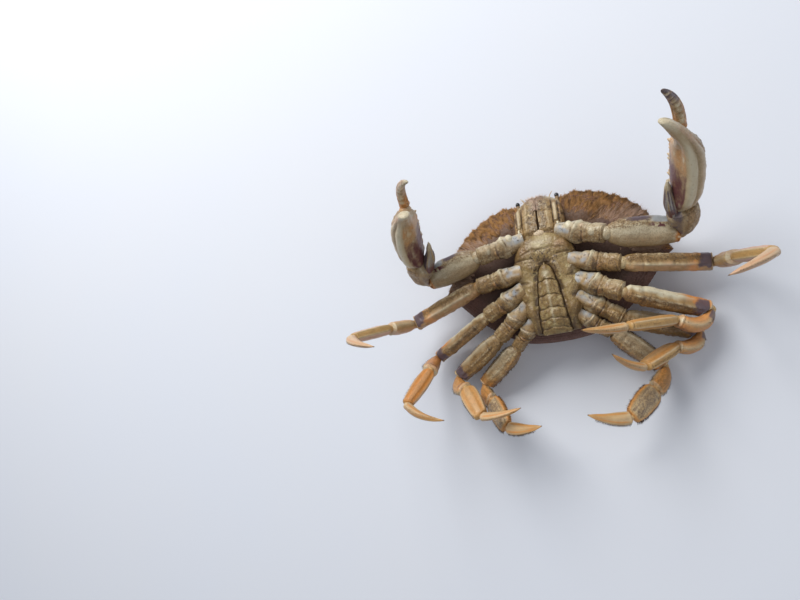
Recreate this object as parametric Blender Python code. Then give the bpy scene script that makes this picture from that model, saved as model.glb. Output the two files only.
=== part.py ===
"""A life-size Dungeness crab lying on its back, for a still museum model.

Row frame: +Z is up and is the crab's belly side, +Y is the way its head points, and +X is its
own left side, which the viewer sees on the right. The origin is on the midline, in the small
flat on the back of the carapace that rests on the floor. Lengths below are millimetres and
directions are degrees; one factor turns them into metres.
"""
import math

import bmesh
import bpy
import numpy as np

MM = 0.001
GAP = 0.3                       # clear space between pieces that meet

# Carapace: driving sizes
HALF_WIDTH = 89.0               # midline to the notches beside the tenth tooth
CENTRE_Y = -8.0                 # widest line of the carapace
FRONT_REACH = 67.0              # from the widest line to the front margin
BACK_REACH = 56.0               # from the widest line to the hind margin
MARGIN_Z = 25.0                 # height of the toothed margin over the floor
DOME_FLAT = 0.34                # share of the back that is flat on the floor
BELLY_Z = 34.0                  # height of the carapace's underside, beneath the sternum
BELLY_FLAT = 0.70               # share of the underside that is level
SIDE_TEETH = 10                 # teeth on each front side margin
SIDE_CURVE = 0.9                # under 1 makes the side fuller than an ellipse
TOOTH_HEIGHT = 2.6
LAST_TOOTH = 4.6
HIND_HALF = 33.0                # half of the straight hind margin

# Sternum, belly flap and mouthparts
STERNUM_FRONT, STERNUM_BACK = 23.0, -57.0
STERNUM_HALF, STERNUM_END = 25.0, 15.0
STERNUM_TOP = 54.0
FLAP_TIP_Y, FLAP_BACK_Y = -3.0, -58.5
FLAP_HALF = 12.0
CHANNEL_DEPTH = 3.2             # how deep the flap lies in the sternum
MOUTH_BACK, MOUTH_FRONT, MOUTH_HALF = 25.0, 55.0, 16.0
MOUTH_TOP_BACK, MOUTH_TOP_FRONT = 50.0, 40.0
MOUTH_FLOOR = BELLY_Z + 1.8
EYE_X, EYE_Y, EYE_Z, EYE_RADIUS = 16.6, 56.6, 30.4, 1.9

# Limb segments: length along the limb, half width in the plane of its bends, half thickness
LEG_PARTS = ("base", "merus", "carpus", "propodus", "dactyl")
CLAW_PARTS = ("base", "arm", "wrist", "hand", "finger")
LEG_SIZES = {
    1: ((31, 7.8, 7.4), (70, 7.6, 6.8), (31, 6.6, 5.4), (42, 6.0, 4.6), (39, 4.4, 3.3)),
    2: ((31, 7.6, 7.2), (70, 7.4, 5.8), (32, 6.6, 5.2), (43, 6.3, 4.4), (41, 4.3, 3.2)),
    3: ((30, 6.8, 6.4), (62, 7.8, 5.2), (28, 6.8, 4.8), (37, 7.8, 4.2), (37, 4.4, 3.0)),
    4: ((26, 5.8, 5.6), (50, 7.8, 4.6), (24, 6.6, 4.4), (33, 8.6, 3.8), (34, 4.8, 2.6)),
}
CLAW_SIZES = ((31, 7.8, 7.6), (56, 11.6, 8.0), (31, 11.0, 9.4), (58, 18.4, 9.6), (44, 4.4, 4.0))

# Pose: hip on the trunk, then each segment's direction as (azimuth from +X, elevation)
POSE = {
    "claw_left": ((23, 20, 47), ((-20, 16), (-6, -25), (74, 66), (78, 54))),
    "claw_right": ((-23, 20, 47), ((-171, 10), (-174, -20), (78, 68), (62, 56))),
    "leg1_left": ((28, -5, 46), ((-17, 5), (-8, -26), (-16, 66), (-19, 62), (-158, 32))),
    "leg1_right": ((-28, -5, 46), ((-174, -1), (-164, -9), (-164, 66), (-161, 62), (-22, 32))),
    "leg2_left": ((28, -22, 46), ((-29, 12), (-21, -31), (-170, 38), (-179, 40), (178, 46))),
    "leg2_right": ((-28, -22, 46), ((-157, -8), (-157, -23), (-81, 68), (-115, 49), (-24, 18))),
    "leg3_left": ((26, -37, 44), ((-36, -8), (-20, -31), (-155, 41), (-152, 45), (145, 55))),
    "leg3_right": ((-26, -37, 44), ((-146, -13), (-152, -25), (-41, 54), (-55, 38), (5, 14))),
    "leg4_left": ((20, -48, 42), ((-39, -18), (-46, -27), (-121, 39), (-137, 39), (167, 30))),
    "leg4_right": ((-20, -48, 42), ((-139, -22), (-146, -23), (-57, 47), (-57, 36), (-2, 24))),
}
# Turn of the broad faces about the limb: of the base and the merus, and of all beyond the knee
ROLL = {
    "claw_left": (-50, 0), "claw_right": (50, 0), "leg2_left": (0, 70), "leg2_right": (0, -70),
    "leg3_left": (0, 60), "leg3_right": (-48, -30), "leg4_left": (30, 0), "leg4_right": (-42, 0),
}
# Way the fixed finger lies across each hand, as a direction (azimuth, elevation)
FINGER_SIDE = {"claw_left": (-81, 34), "claw_right": (-94, 32)}

# Outlines along a segment: (share of length, share of half width, share of half thickness)
SHAPES = {
    "base": ((0.0, 0.62, 0.62), (0.1, 0.98, 0.98), (0.42, 1.0, 1.0), (0.55, 0.84, 0.84),
             (0.72, 0.92, 0.92), (0.94, 0.94, 0.9), (1.0, 0.66, 0.6)),
    "merus": ((0.0, 0.5, 0.6), (0.06, 0.78, 0.9), (0.25, 1.0, 1.0), (0.55, 1.0, 1.0),
              (0.82, 0.88, 0.98), (0.95, 0.8, 0.95), (1.0, 0.5, 0.6)),
    "carpus": ((0.0, 0.42, 0.5), (0.12, 0.66, 0.8), (0.4, 0.9, 1.0), (0.72, 1.0, 1.0),
               (0.93, 0.92, 0.95), (1.0, 0.55, 0.6)),
    "propodus": ((0.0, 0.5, 0.6), (0.1, 0.86, 0.92), (0.35, 1.0, 1.0), (0.65, 0.94, 0.95),
                 (0.92, 0.74, 0.85), (1.0, 0.45, 0.55)),
    "dactyl": ((0.0, 0.5, 0.6), (0.08, 0.95, 1.0), (0.3, 0.98, 0.95), (0.65, 0.6, 0.62),
               (0.9, 0.26, 0.3), (1.0, 0.09, 0.12)),
    "arm": ((0.0, 0.42, 0.5), (0.07, 0.66, 0.8), (0.3, 0.96, 1.0), (0.6, 1.0, 1.0),
            (0.86, 0.86, 0.95), (0.96, 0.72, 0.85), (1.0, 0.42, 0.5)),
    "wrist": ((0.0, 0.42, 0.5), (0.14, 0.7, 0.8), (0.42, 0.96, 1.0), (0.74, 1.0, 1.0),
              (0.94, 0.84, 0.9), (1.0, 0.5, 0.55)),
    "finger": ((0.0, 0.6, 0.7), (0.1, 1.0, 1.0), (0.35, 0.94, 0.95), (0.65, 0.68, 0.72),
               (0.88, 0.4, 0.45), (1.0, 0.1, 0.14)),
}
# Hand: (distance from the wrist, shift to the finger side, inward shift, half height, half thickness)
HAND = ((0.0, 0.0, -0.5, 7.5, 6.0), (5.0, 0.0, -1.5, 11.5, 7.8), (20.0, 0.5, -3.0, 17.0, 9.2),
        (38.0, 1.5, -3.4, 18.4, 9.6), (48.0, 2.6, -2.8, 17.4, 9.2), (53.6, 4.2, -2.0, 15.4, 8.7),
        (56.4, 7.0, -1.2, 12.5, 8.0), (59.0, 9.6, -0.4, 9.9, 7.4), (64.0, 12.4, 1.6, 7.6, 6.6),
        (70.0, 14.3, 4.8, 6.2, 5.8), (76.0, 15.6, 8.6, 5.1, 4.9), (81.0, 16.4, 12.4, 4.6, 4.4),
        (84.3, 16.6, 15.2, 3.8, 3.7), (85.8, 16.6, 16.5, 2.0, 2.0))
# How far each fixed finger's end is bent from that line, in the same three directions
FINGER_BEND = {"claw_left": (0.0, 0.0, 0.0), "claw_right": (-6.0, 7.0, -9.5)}
# Movable finger: its root on the hand, then the corners of its bow and its tip from that root,
# each along the hand, to the finger side and inward
FINGER_ROOT = (57.4, -8.6, -1.6)
FINGER_PATH = {"claw_left": ((16.5, -2.0, -1.0), (31.3, 3.6, 6.0), (40.8, 12.6, 14.5)),
               "claw_right": ((15.5, -1.5, -2.5), (30.8, 4.6, 1.0), (38.8, 15.1, 11.5))}
PALM_LENGTH = 55.0              # from the wrist to where the fixed finger starts
LEG_SIDES, CLAW_SIDES, TIP_SIDES = 10, 12, 8

COLOURS = {                     # base colour, roughness
    "shell": ((0.50, 0.26, 0.12), 0.5),
    "belly": ((0.58, 0.46, 0.26), 0.5),
    "cream": ((0.74, 0.62, 0.42), 0.45),
    "amber": ((0.80, 0.50, 0.20), 0.4),
    "eye": ((0.02, 0.02, 0.02), 0.15),
    "mouth": ((0.66, 0.52, 0.30), 0.55),
}


def clear_scene():
    """Take every object out of the scene."""
    for old in list(bpy.data.objects):
        bpy.data.objects.remove(old, do_unlink=True)


def material(name):
    """A Principled material of one of the named colours."""
    found = bpy.data.materials.get(name)
    if found:
        return found
    made = bpy.data.materials.new(name)
    made.use_nodes = True
    shader = made.node_tree.nodes["Principled BSDF"]
    colour, roughness = COLOURS[name]
    shader.inputs["Base Color"].default_value = (*colour, 1.0)
    shader.inputs["Roughness"].default_value = roughness
    shader.inputs["Metallic"].default_value = 0.0
    return made


def put(name, points, faces, colour):
    """Make one named object from points in millimetres and its faces."""
    mesh = bpy.data.meshes.new(name)
    mesh.from_pydata((np.asarray(points) * MM).tolist(), [], faces)
    mesh.materials.append(material(colour))
    skin = bmesh.new()
    skin.from_mesh(mesh)
    bmesh.ops.recalc_face_normals(skin, faces=skin.faces)
    skin.to_mesh(mesh)
    skin.free()
    mesh.shade_smooth()
    mesh.set_sharp_from_angle(angle=math.radians(40))
    made = bpy.data.objects.new(name, mesh)
    bpy.context.scene.collection.objects.link(made)
    return made


def unit(vector):
    """The vector at length one."""
    return np.asarray(vector, float) / np.linalg.norm(vector)


def direction(azimuth, elevation):
    """Unit vector from an azimuth and an elevation in degrees."""
    a, e = math.radians(azimuth), math.radians(elevation)
    return np.array([math.cos(e) * math.cos(a), math.cos(e) * math.sin(a), math.sin(e)])


def tube(rings):
    """Points and faces of a closed body through a row of rings with equal point counts.

    Ring i, corner j is point i * sides + j; the two ends are closed by one face each.
    """
    count, sides = len(rings), len(rings[0])
    points = np.concatenate(rings)
    faces = []
    for i in range(count - 1):
        for j in range(sides):
            k = (j + 1) % sides
            faces.append((i * sides + j, i * sides + k, (i + 1) * sides + k, (i + 1) * sides + j))
    faces.append(tuple(range(sides))[::-1])
    faces.append(tuple((count - 1) * sides + j for j in range(sides)))
    return points, faces


def oval(middle, wide, thick, half_width, half_thick, sides):
    """One oval ring of points round a middle, with its axes along wide and thick."""
    turn = 2 * math.pi * np.arange(sides) / sides
    return (middle + np.outer(np.cos(turn) * half_width, wide)
            + np.outer(np.sin(turn) * half_thick, thick))


def slide_behind(points, joint, normal, along):
    """Slide points that pass a joint's plane back along the segment until they clear it."""
    over = (points - joint) @ normal + GAP / 2
    move = np.where(over > 0, over / (along @ normal), 0.0)
    return points - np.outer(move, along)


class Limb:
    """Joint points, bent middle lines and joint planes of one limb."""

    def __init__(self, name, sizes):
        hip, turns = POSE[name]
        self.ways = [direction(*turn) for turn in turns]
        self.lengths = [size[0] for size in sizes]
        self.joints = [np.array(hip, float)]
        for way, length in zip(self.ways, self.lengths):
            self.joints.append(self.joints[-1] + way * length)
        self.bend = unit(np.cross(self.ways[1], self.ways[2]))
        if self.bend[1] < 0:
            self.bend = -self.bend
        self.roll = ROLL.get(name, (0, 0))
        self.knees = [self.knee(i) for i in range(len(self.ways))]

    def knee(self, i):
        """Middle control point of segment i: it bows outwards after a sharp fold."""
        middle = (self.joints[i] + self.joints[i + 1]) / 2
        if i == 0:
            return middle
        fold = math.degrees(math.acos(np.clip(self.ways[i - 1] @ self.ways[i], -1, 1)))
        share = 0.52 * np.clip((fold - 60.0) / 95.0, 0.0, 1.0)
        if i == len(self.ways) - 1:
            share += 0.12
        out = self.ways[i - 1] + self.ways[i]
        out = out - self.ways[i] * (out @ self.ways[i])
        size = np.linalg.norm(out)
        if size < 0.02:
            return middle
        return middle + out / size * share * self.lengths[i]

    def start_way(self, i):
        """Direction in which segment i leaves its first joint."""
        return unit(self.knees[i] - self.joints[i])

    def end_way(self, i):
        """Direction in which segment i comes into its last joint."""
        return unit(self.joints[i + 1] - self.knees[i])

    def frame_at(self, i, t):
        """Middle point and the wide and thick directions at share t of segment i."""
        a, k, b = self.joints[i], self.knees[i], self.joints[i + 1]
        middle = a * (1 - t) ** 2 + k * 2 * t * (1 - t) + b * t ** 2
        way = unit((k - a) * (1 - t) + (b - k) * t)
        wide = unit(np.cross(self.bend, way))
        thick = unit(np.cross(way, wide))
        turn = math.radians(self.roll[0] if i < 2 else self.roll[1])
        turned = wide * math.cos(turn) + thick * math.sin(turn)
        return middle, turned, unit(np.cross(way, turned))

    def fit(self, i, rings, reach):
        """Keep the rings of segment i clear of the planes of its two joints.

        reach is how far along, as a share, each ring lies.
        """
        fitted = []
        for ring, t in zip(rings, reach):
            if i > 0 and t < 0.5:
                normal = unit(self.end_way(i - 1) + self.start_way(i))
                ring = slide_behind(ring, self.joints[i], -normal, -self.start_way(i))
            if i < len(self.ways) - 1 and t > 0.4:
                normal = unit(self.end_way(i) + self.start_way(i + 1))
                ring = slide_behind(ring, self.joints[i + 1], normal, self.end_way(i))
            fitted.append(ring)
        return fitted


def segment(name, limb, i, kind, half_width, half_thick, sides, colour):
    """One limb segment: oval rings along its bent middle line, fitted to its joints."""
    rings, reach = [], []
    for t, wide_share, thick_share in SHAPES[kind]:
        middle, wide, thick = limb.frame_at(i, t)
        rings.append(oval(middle, wide, thick, half_width * wide_share,
                          half_thick * thick_share, sides))
        reach.append(t)
    rings = limb.fit(i, rings, reach)
    points, faces = tube(rings)
    return put(name, points, faces, colour)


def legs():
    """Four pairs of walking legs, five segments each."""
    colours = ("belly", "cream", "amber", "amber", "amber")
    for number, sizes in LEG_SIZES.items():
        for side in ("left", "right"):
            limb = Limb(f"leg{number}_{side}", sizes)
            for i, kind in enumerate(LEG_PARTS):
                sides = TIP_SIDES if kind == "dactyl" else LEG_SIDES
                segment(f"leg{number}_{side}_{kind}", limb, i, kind, sizes[i][1], sizes[i][2],
                        sides, colours[i])


def hand_frame(name, limb):
    """Wrist point, way along the hand, way to the fixed finger, and the thickness direction."""
    along = limb.ways[3]
    side = direction(*FINGER_SIDE[name])
    side = unit(side - along * (side @ along))
    return limb.joints[3], along, side, np.cross(along, side)


def hand(name, limb):
    """Palm and fixed finger in one: ovals whose middle line turns into the finger."""
    wrist, along, side, thick = hand_frame(name, limb)
    inner = -thick if name == "claw_left" else thick
    axes = np.array([along, side, inner])
    rings = []
    for reach, shift, inward, half_height, half_thick in HAND:
        share = max(0.0, (reach - PALM_LENGTH) / (HAND[-1][0] - PALM_LENGTH)) ** 2
        middle = wrist + along * (reach + GAP) + side * shift + inner * inward
        middle = middle + share * (FINGER_BEND[name] @ axes)
        rings.append(oval(middle, side, thick, half_height, half_thick, CLAW_SIDES))
    normal = unit(limb.end_way(2) + along)
    start = wrist + along * 2 * GAP
    rings[:4] = [slide_behind(ring, start, -normal, -along) for ring in rings[:4]]
    points, faces = tube(rings)
    put(f"{name}_hand", points, faces, "cream")


def finger(name, limb):
    """Movable finger: bowed ovals from its root beside the hand's end to its tip."""
    half_width, half_thick = CLAW_SIZES[4][1:]
    wrist, along, side, thick = hand_frame(name, limb)
    inner = -thick if name == "claw_left" else thick
    axes = np.array([along, side, inner])
    root = wrist + FINGER_ROOT @ axes
    low, high, tip = (root + corner @ axes for corner in FINGER_PATH[name])
    rings = []
    for t, wide_share, thick_share in SHAPES["finger"]:
        middle = (root * (1 - t) ** 3 + low * 3 * t * (1 - t) ** 2 + high * 3 * t * t * (1 - t)
                  + tip * t ** 3)
        heading = unit((low - root) * (1 - t) ** 2 + (high - low) * 2 * t * (1 - t)
                       + (tip - high) * t ** 2)
        across = unit(np.cross(thick, heading))
        rings.append(oval(middle, across, np.cross(heading, across), half_width * wide_share,
                          half_thick * thick_share, CLAW_SIDES))
    points, faces = tube(rings)
    put(f"{name}_finger", points, faces, "cream")


def claws():
    """Both claws: base, arm, wrist, hand with fixed finger, movable finger."""
    for name in ("claw_left", "claw_right"):
        limb = Limb(name, CLAW_SIZES)
        for i, kind in enumerate(CLAW_PARTS[:3]):
            segment(f"{name}_{kind}", limb, i, kind, CLAW_SIZES[i][1], CLAW_SIZES[i][2],
                    CLAW_SIDES, "cream")
        hand(name, limb)
        finger(name, limb)


def outline():
    """The carapace's outline, anticlockwise from the middle of the front, as x and y.

    Right of the midline: the small front teeth, the eye notch, a rounded side with ten teeth
    that point forwards, of which the last is the largest, a straight slope behind it and the
    hind margin; then its mirror image.
    """
    side = [(0.0, 58.0), (3.5, 55.8), (8.0, 57.0), (12.0, 54.6), (16.0, 54.0), (21.0, 54.0), (25.5, 56.0)]
    steps = 3 * SIDE_TEETH
    first = math.asin((27.0 / HALF_WIDTH) ** (1.0 / SIDE_CURVE))
    for k in range(1, steps + 1):
        turn = first + (math.pi / 2 - first) * k / steps
        point = np.array([HALF_WIDTH * math.sin(turn) ** SIDE_CURVE,
                          CENTRE_Y + FRONT_REACH * max(math.cos(turn), 0.0) ** SIDE_CURVE])
        out = unit([math.sin(turn) / HALF_WIDTH, math.cos(turn) / FRONT_REACH])
        if k <= steps - 3:
            height = TOOTH_HEIGHT * (0.0, 1.0, 0.5)[k % 3]
        else:
            height = LAST_TOOTH * (1.0, 0.3, 0.6)[k % 3]
        side.append(tuple(point + out * height))
    hind = np.array([HIND_HALF, CENTRE_Y - BACK_REACH + 4.0])
    notch = np.array([HALF_WIDTH - 2.0, CENTRE_Y - 5.0])
    for k in range(8):
        t = k / 7
        bulge = 4.0 * math.sin(math.pi * t)
        side.append(tuple(notch * (1 - t) + hind * t + np.array([0.62, -0.78]) * bulge))
    side += [(20.0, CENTRE_Y - BACK_REACH + 1.0), (8.0, CENTRE_Y - BACK_REACH)]
    mirror = [(-x, y) for x, y in side[:0:-1]]
    return np.array(side[::-1] + mirror[::-1])


def margin_height(points):
    """Height of the margin: a little higher towards the front, where the eyes look out."""
    rise = np.clip((points[:, 1] - CENTRE_Y) / FRONT_REACH, 0.0, 1.0)
    return MARGIN_Z + 2.0 * rise


def carapace():
    """Shield of the back: the outline shrunk towards the middle, ring by ring.

    The back's height falls from the margin to a flat on the floor; the belly side rises from
    the margin to a level seat for the sternum and the mouthparts.
    """
    edge = outline()
    centre = np.array([0.0, CENTRE_Y])
    margin = margin_height(edge)
    rings = []
    for share in (DOME_FLAT, 0.55, 0.75, 0.9, 0.975):
        depth = ((share - DOME_FLAT) / (1.0 - DOME_FLAT)) ** 2.1
        rings.append(np.column_stack([centre + (edge - centre) * share, (margin - 1.5) * depth]))
    rings.append(np.column_stack([edge, margin]))
    for share in (0.94, BELLY_FLAT):
        rise = min(1.0, ((1.0 - share) / (1.0 - BELLY_FLAT)) ** 0.8)
        height = margin + 1.5 + (BELLY_Z - margin - 1.5) * rise
        rings.append(np.column_stack([centre + (edge - centre) * share, height]))
    points, faces = tube(rings)
    put("carapace", points, faces, "shell")


def plate(name, rows, colour):
    """A closed slab from rows of (x, y, top, bottom) columns, each row the same length."""
    rings = []
    for row in rows:
        row = np.array(row, float)
        upper = row[:, :3]
        lower = row[::-1][:, [0, 1, 3]]
        rings.append(np.concatenate([upper, lower]))
    points, faces = tube(rings)
    return put(name, points, faces, colour)


def flap_half(y):
    """Half width of the belly flap: a narrow rounded point that widens backwards."""
    t = np.clip((FLAP_TIP_Y - y) / (FLAP_TIP_Y - FLAP_BACK_Y), 0.0, 1.0)
    return 1.2 + (FLAP_HALF - 1.2) * t ** 0.38


def sternum_half(y):
    """Half width of the sternum: full in the middle, less towards both ends."""
    front = np.clip((STERNUM_FRONT - y) / 24.0, 0.0, 1.0) ** 0.45
    back = np.clip((y - STERNUM_BACK) / 36.0, 0.0, 1.0) ** 0.85
    return STERNUM_END + (STERNUM_HALF - STERNUM_END) * min(front, back)


def sternum_top(x, y):
    """Height of the sternum: level in the middle, lower at its sides, front and back."""
    front = max(0.0, (y - 8.0) / 15.0)
    back = max(0.0, (-40.0 - y) / 17.0)
    return STERNUM_TOP - 3.2 * (x / STERNUM_HALF) ** 2 - 4.5 * front ** 2 - 6.5 * back ** 2


def sternum():
    """Breastplate with the shallow channel that the belly flap lies in."""
    rows = []
    channel_end = FLAP_TIP_Y + 1.5
    for y in (*np.linspace(STERNUM_BACK, channel_end, 8), channel_end + 1.0, 6.0, 15.0, STERNUM_FRONT):
        half = sternum_half(y)
        lip = min(flap_half(y) + 1.6, half - 2.0)
        sunk = CHANNEL_DEPTH if y <= channel_end else 0.0
        row = []
        for x, drop in ((-half, 2.5), (-half * 0.94, 0.0), (-(half + lip) / 2, 0.0), (-lip, 0.0),
                        (-lip + 0.8, sunk), (0.0, sunk), (lip - 0.8, sunk), (lip, 0.0),
                        ((half + lip) / 2, 0.0), (half * 0.94, 0.0), (half, 2.5)):
            row.append((x, y, sternum_top(x, y) - drop, BELLY_Z + 1.0))
        rows.append(row[::-1])
    plate("sternum", rows, "belly")


def belly_flap():
    """The male's narrow belly flap: six plates and a pointed end, folded under the body."""
    rows = []
    for y in np.linspace(FLAP_BACK_Y, FLAP_TIP_Y, 10):
        half = flap_half(y) - 0.4
        ridge = 0.5 * math.sin(math.pi * (y - FLAP_TIP_Y) / 8.0) ** 2
        row = []
        for share, lift in ((-1.0, 0.0), (-0.86, 1.0), (-0.4, 1.9), (0.0, 2.3), (0.4, 1.9),
                            (0.86, 1.0), (1.0, 0.0)):
            floor = sternum_top(0.0, y) - CHANNEL_DEPTH + 2 * GAP
            row.append((share * half, y, floor + 1.2 + lift + ridge, floor))
        rows.append(row[::-1])
    plate("belly_flap", rows, "belly")


def mouth_plate(side, name):
    """One outer mouthpart: a ribbed plate beside the midline, sloping down to the front."""
    rows = []
    for y in np.linspace(MOUTH_BACK, MOUTH_FRONT, 6):
        t = (y - MOUTH_BACK) / (MOUTH_FRONT - MOUTH_BACK)
        top = MOUTH_TOP_BACK + (MOUTH_TOP_FRONT - MOUTH_TOP_BACK) * t ** 1.6
        half = MOUTH_HALF - 2.0 * t ** 2
        bottom = MOUTH_FLOOR - 6.0 * max(0.0, (t - 0.4) / 0.6) ** 1.4
        row = []
        for share, drop in ((0.0, 1.5), (0.06, 0.4), (0.3, 0.6), (0.55, 0.0), (0.62, 1.6),
                            (0.68, 1.6), (0.76, 0.0), (0.94, 0.8), (1.0, 3.0)):
            row.append((side * (GAP + share * half), y, top - drop - 2.0 * share ** 2, bottom))
        rows.append(row[::-side])
    plate(name, rows, "mouth")


def eye(side, name):
    """A short stalk that swells into the eye, standing in the notch of the margin."""
    rings = []
    for k in range(9):
        turn = math.pi * k / 8
        y = EYE_Y - EYE_RADIUS * 1.3 * math.cos(turn)
        radius = max(0.4, EYE_RADIUS * math.sin(turn) ** 0.8)
        rings.append(oval(np.array([side * EYE_X, y, EYE_Z]), np.array([0.0, 0.0, 1.0]),
                          np.array([1.0, 0.0, 0.0]), radius, radius, LEG_SIDES))
    points, faces = tube(rings)
    put(name, points, faces, "eye")


def antenna(side, name):
    """A thick root joint and a short thin lash that curves outwards."""
    rings = []
    for t, radius in ((0.0, 0.9), (0.06, 1.3), (0.24, 1.2), (0.3, 0.7), (0.55, 0.5), (0.8, 0.4), (1.0, 0.3)):
        middle = np.array([side * (10.0 + 3.5 * t ** 2), 55.5 + 6.5 * t, 30.5 - 1.0 * t])
        rings.append(oval(middle, np.array([0.0, 0.0, 1.0]), np.array([1.0, 0.0, 0.0]), radius,
                          radius, TIP_SIDES))
    points, faces = tube(rings)
    put(name, points, faces, "mouth")


def main():
    """Build every piece of the crab."""
    clear_scene()
    carapace()
    sternum()
    belly_flap()
    for side, word in ((1, "left"), (-1, "right")):
        mouth_plate(side, f"mouthpart_{word}")
        eye(side, f"eye_{word}")
        antenna(side, f"antenna_{word}")
    claws()
    legs()


main()
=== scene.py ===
"""Looks of a life-size Dungeness crab that lies on its back.

Lengths are millimetres and directions degrees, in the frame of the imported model: +Z is up and is
the crab's belly side, +Y is the way its head points, +X is its own left side.
"""

import math

import bpy
import numpy as np
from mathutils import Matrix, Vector


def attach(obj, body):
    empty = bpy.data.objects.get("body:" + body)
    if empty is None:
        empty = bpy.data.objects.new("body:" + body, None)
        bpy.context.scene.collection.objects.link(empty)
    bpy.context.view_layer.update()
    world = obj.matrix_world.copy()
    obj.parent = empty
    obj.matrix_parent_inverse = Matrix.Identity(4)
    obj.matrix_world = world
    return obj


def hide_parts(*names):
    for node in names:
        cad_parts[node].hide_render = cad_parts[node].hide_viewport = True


bl_info = {
    "name": "Dungeness crab model",
    "version": (1, 0, 0),
    "blender": (4, 5, 0),
    "location": "View3D > Sidebar > Crab",
    "description": "Detailed shell, claws, legs and hair of a life-size crab",
    "category": "Add Mesh",
}

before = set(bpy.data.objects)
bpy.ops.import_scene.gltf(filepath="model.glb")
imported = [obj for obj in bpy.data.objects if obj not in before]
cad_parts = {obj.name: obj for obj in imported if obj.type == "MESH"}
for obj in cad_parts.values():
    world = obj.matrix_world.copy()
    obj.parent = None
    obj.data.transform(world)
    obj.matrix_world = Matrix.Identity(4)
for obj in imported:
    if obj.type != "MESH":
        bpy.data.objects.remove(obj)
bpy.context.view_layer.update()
MM = 0.001

# Carapace
CENTRE_Y, FRONT_REACH, BACK_REACH, SHELL_HALF = -8.0, 67.0, 56.0, 89.0
SIDE_TEETH, SIDE_CURVE, HIND_HALF = 10, 0.9, 33.0
MARGIN_Z, DOME_FLAT, BELLY_Z, BELLY_FLAT = 25.0, 0.34, 34.0, 0.70
FRONT_EDGE = ((0.0, 58.0), (3.5, 55.8), (8.0, 57.0), (12.0, 54.6), (16.0, 54.0), (21.0, 54.0),
              (25.5, 56.0))
# Points on half of its outline: front, each side tooth, slope behind them and rear
FRONT_STEPS, TOOTH_STEPS, SLOPE_STEPS, REAR_STEPS = 44, 16, 70, 30

# Sternum with its sutures, belly flap with its joints, mouthparts with their bars, and eyes
STERNUM_FRONT, STERNUM_BACK, STERNUM_HALF, STERNUM_TOP = 23.0, -57.0, 25.0, 54.0
SUTURES = (5.0, -14.0, -30.0, -43.0)
FLAP_TIP_Y, FLAP_BACK_Y, FLAP_HALF, CHANNEL_DEPTH = -3.0, -58.5, 12.0, 3.2
FLAP_JOINTS = (-15.0, -27.0, -37.5, -46.0, -53.0)
MOUTH_BACK, MOUTH_FRONT, MOUTH_TOP_BACK, MOUTH_TOP_FRONT = 25.0, 55.0, 50.0, 40.0
BAR_MIDDLE, BAR_HALF = 39.8, 9.0
EYE_PLACE, EYE_RADIUS = (16.6, 56.6, 30.4), 1.9
FEELER_RADII = ((0.0, 1.0), (0.06, 1.5), (0.22, 1.4), (0.3, 0.6), (0.55, 0.4), (1.0, 0.2))

# Limb segments: length along the limb, half width and half thickness of the section
LEG_PARTS = ("base", "merus", "carpus", "propodus", "dactyl")
CLAW_PARTS = ("base", "arm", "wrist", "hand", "finger")
LEG_SIZES = {
    1: ((31, 7.8, 7.4), (70, 7.6, 6.8), (31, 6.6, 5.4), (42, 6.0, 4.6), (39, 4.4, 3.3)),
    2: ((31, 7.6, 7.2), (70, 7.4, 5.8), (32, 6.6, 5.2), (43, 6.3, 4.4), (41, 4.3, 3.2)),
    3: ((30, 6.8, 6.4), (62, 7.8, 5.2), (28, 6.8, 4.8), (37, 7.8, 4.2), (37, 4.4, 3.0)),
    4: ((26, 5.8, 5.6), (50, 7.8, 4.6), (24, 6.6, 4.4), (33, 8.6, 3.8), (34, 4.8, 2.6)),
}
CLAW_SIZES = ((31, 7.8, 7.6), (56, 11.6, 8.0), (31, 11.0, 9.4), (58, 18.4, 9.6), (44, 4.4, 4.0))

# Pose: hip on the trunk, then each segment's direction as (azimuth from +X, elevation)
POSE = {
    "claw_left": ((23, 20, 47), ((-20, 16), (-6, -25), (74, 66), (78, 54))),
    "claw_right": ((-23, 20, 47), ((-171, 10), (-174, -20), (78, 68), (62, 56))),
    "leg1_left": ((28, -5, 46), ((-17, 5), (-8, -26), (-16, 66), (-19, 62), (-158, 32))),
    "leg1_right": ((-28, -5, 46), ((-174, -1), (-164, -9), (-164, 66), (-161, 62), (-22, 32))),
    "leg2_left": ((28, -22, 46), ((-29, 12), (-21, -31), (-170, 38), (-179, 40), (178, 46))),
    "leg2_right": ((-28, -22, 46), ((-157, -8), (-157, -23), (-81, 68), (-115, 49), (-24, 18))),
    "leg3_left": ((26, -37, 44), ((-36, -8), (-20, -31), (-155, 41), (-152, 45), (145, 55))),
    "leg3_right": ((-26, -37, 44), ((-146, -13), (-152, -25), (-41, 54), (-55, 38), (5, 14))),
    "leg4_left": ((20, -48, 42), ((-39, -18), (-46, -27), (-121, 39), (-137, 39), (167, 30))),
    "leg4_right": ((-20, -48, 42), ((-139, -22), (-146, -23), (-57, 47), (-57, 36), (-2, 24))),
}
# Turn of the broad faces about the limb: of the base and the merus, and of all beyond the knee
ROLL = {
    "claw_left": (-50, 0), "claw_right": (50, 0), "leg2_left": (0, 70), "leg2_right": (0, -70),
    "leg3_left": (0, 60), "leg3_right": (-48, -30), "leg4_left": (30, 0), "leg4_right": (-42, 0),
}
# Way from each palm to its finger side, as (azimuth, elevation)
FINGER_SIDE = {"claw_left": (-81, 34), "claw_right": (-94, 32)}

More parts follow.
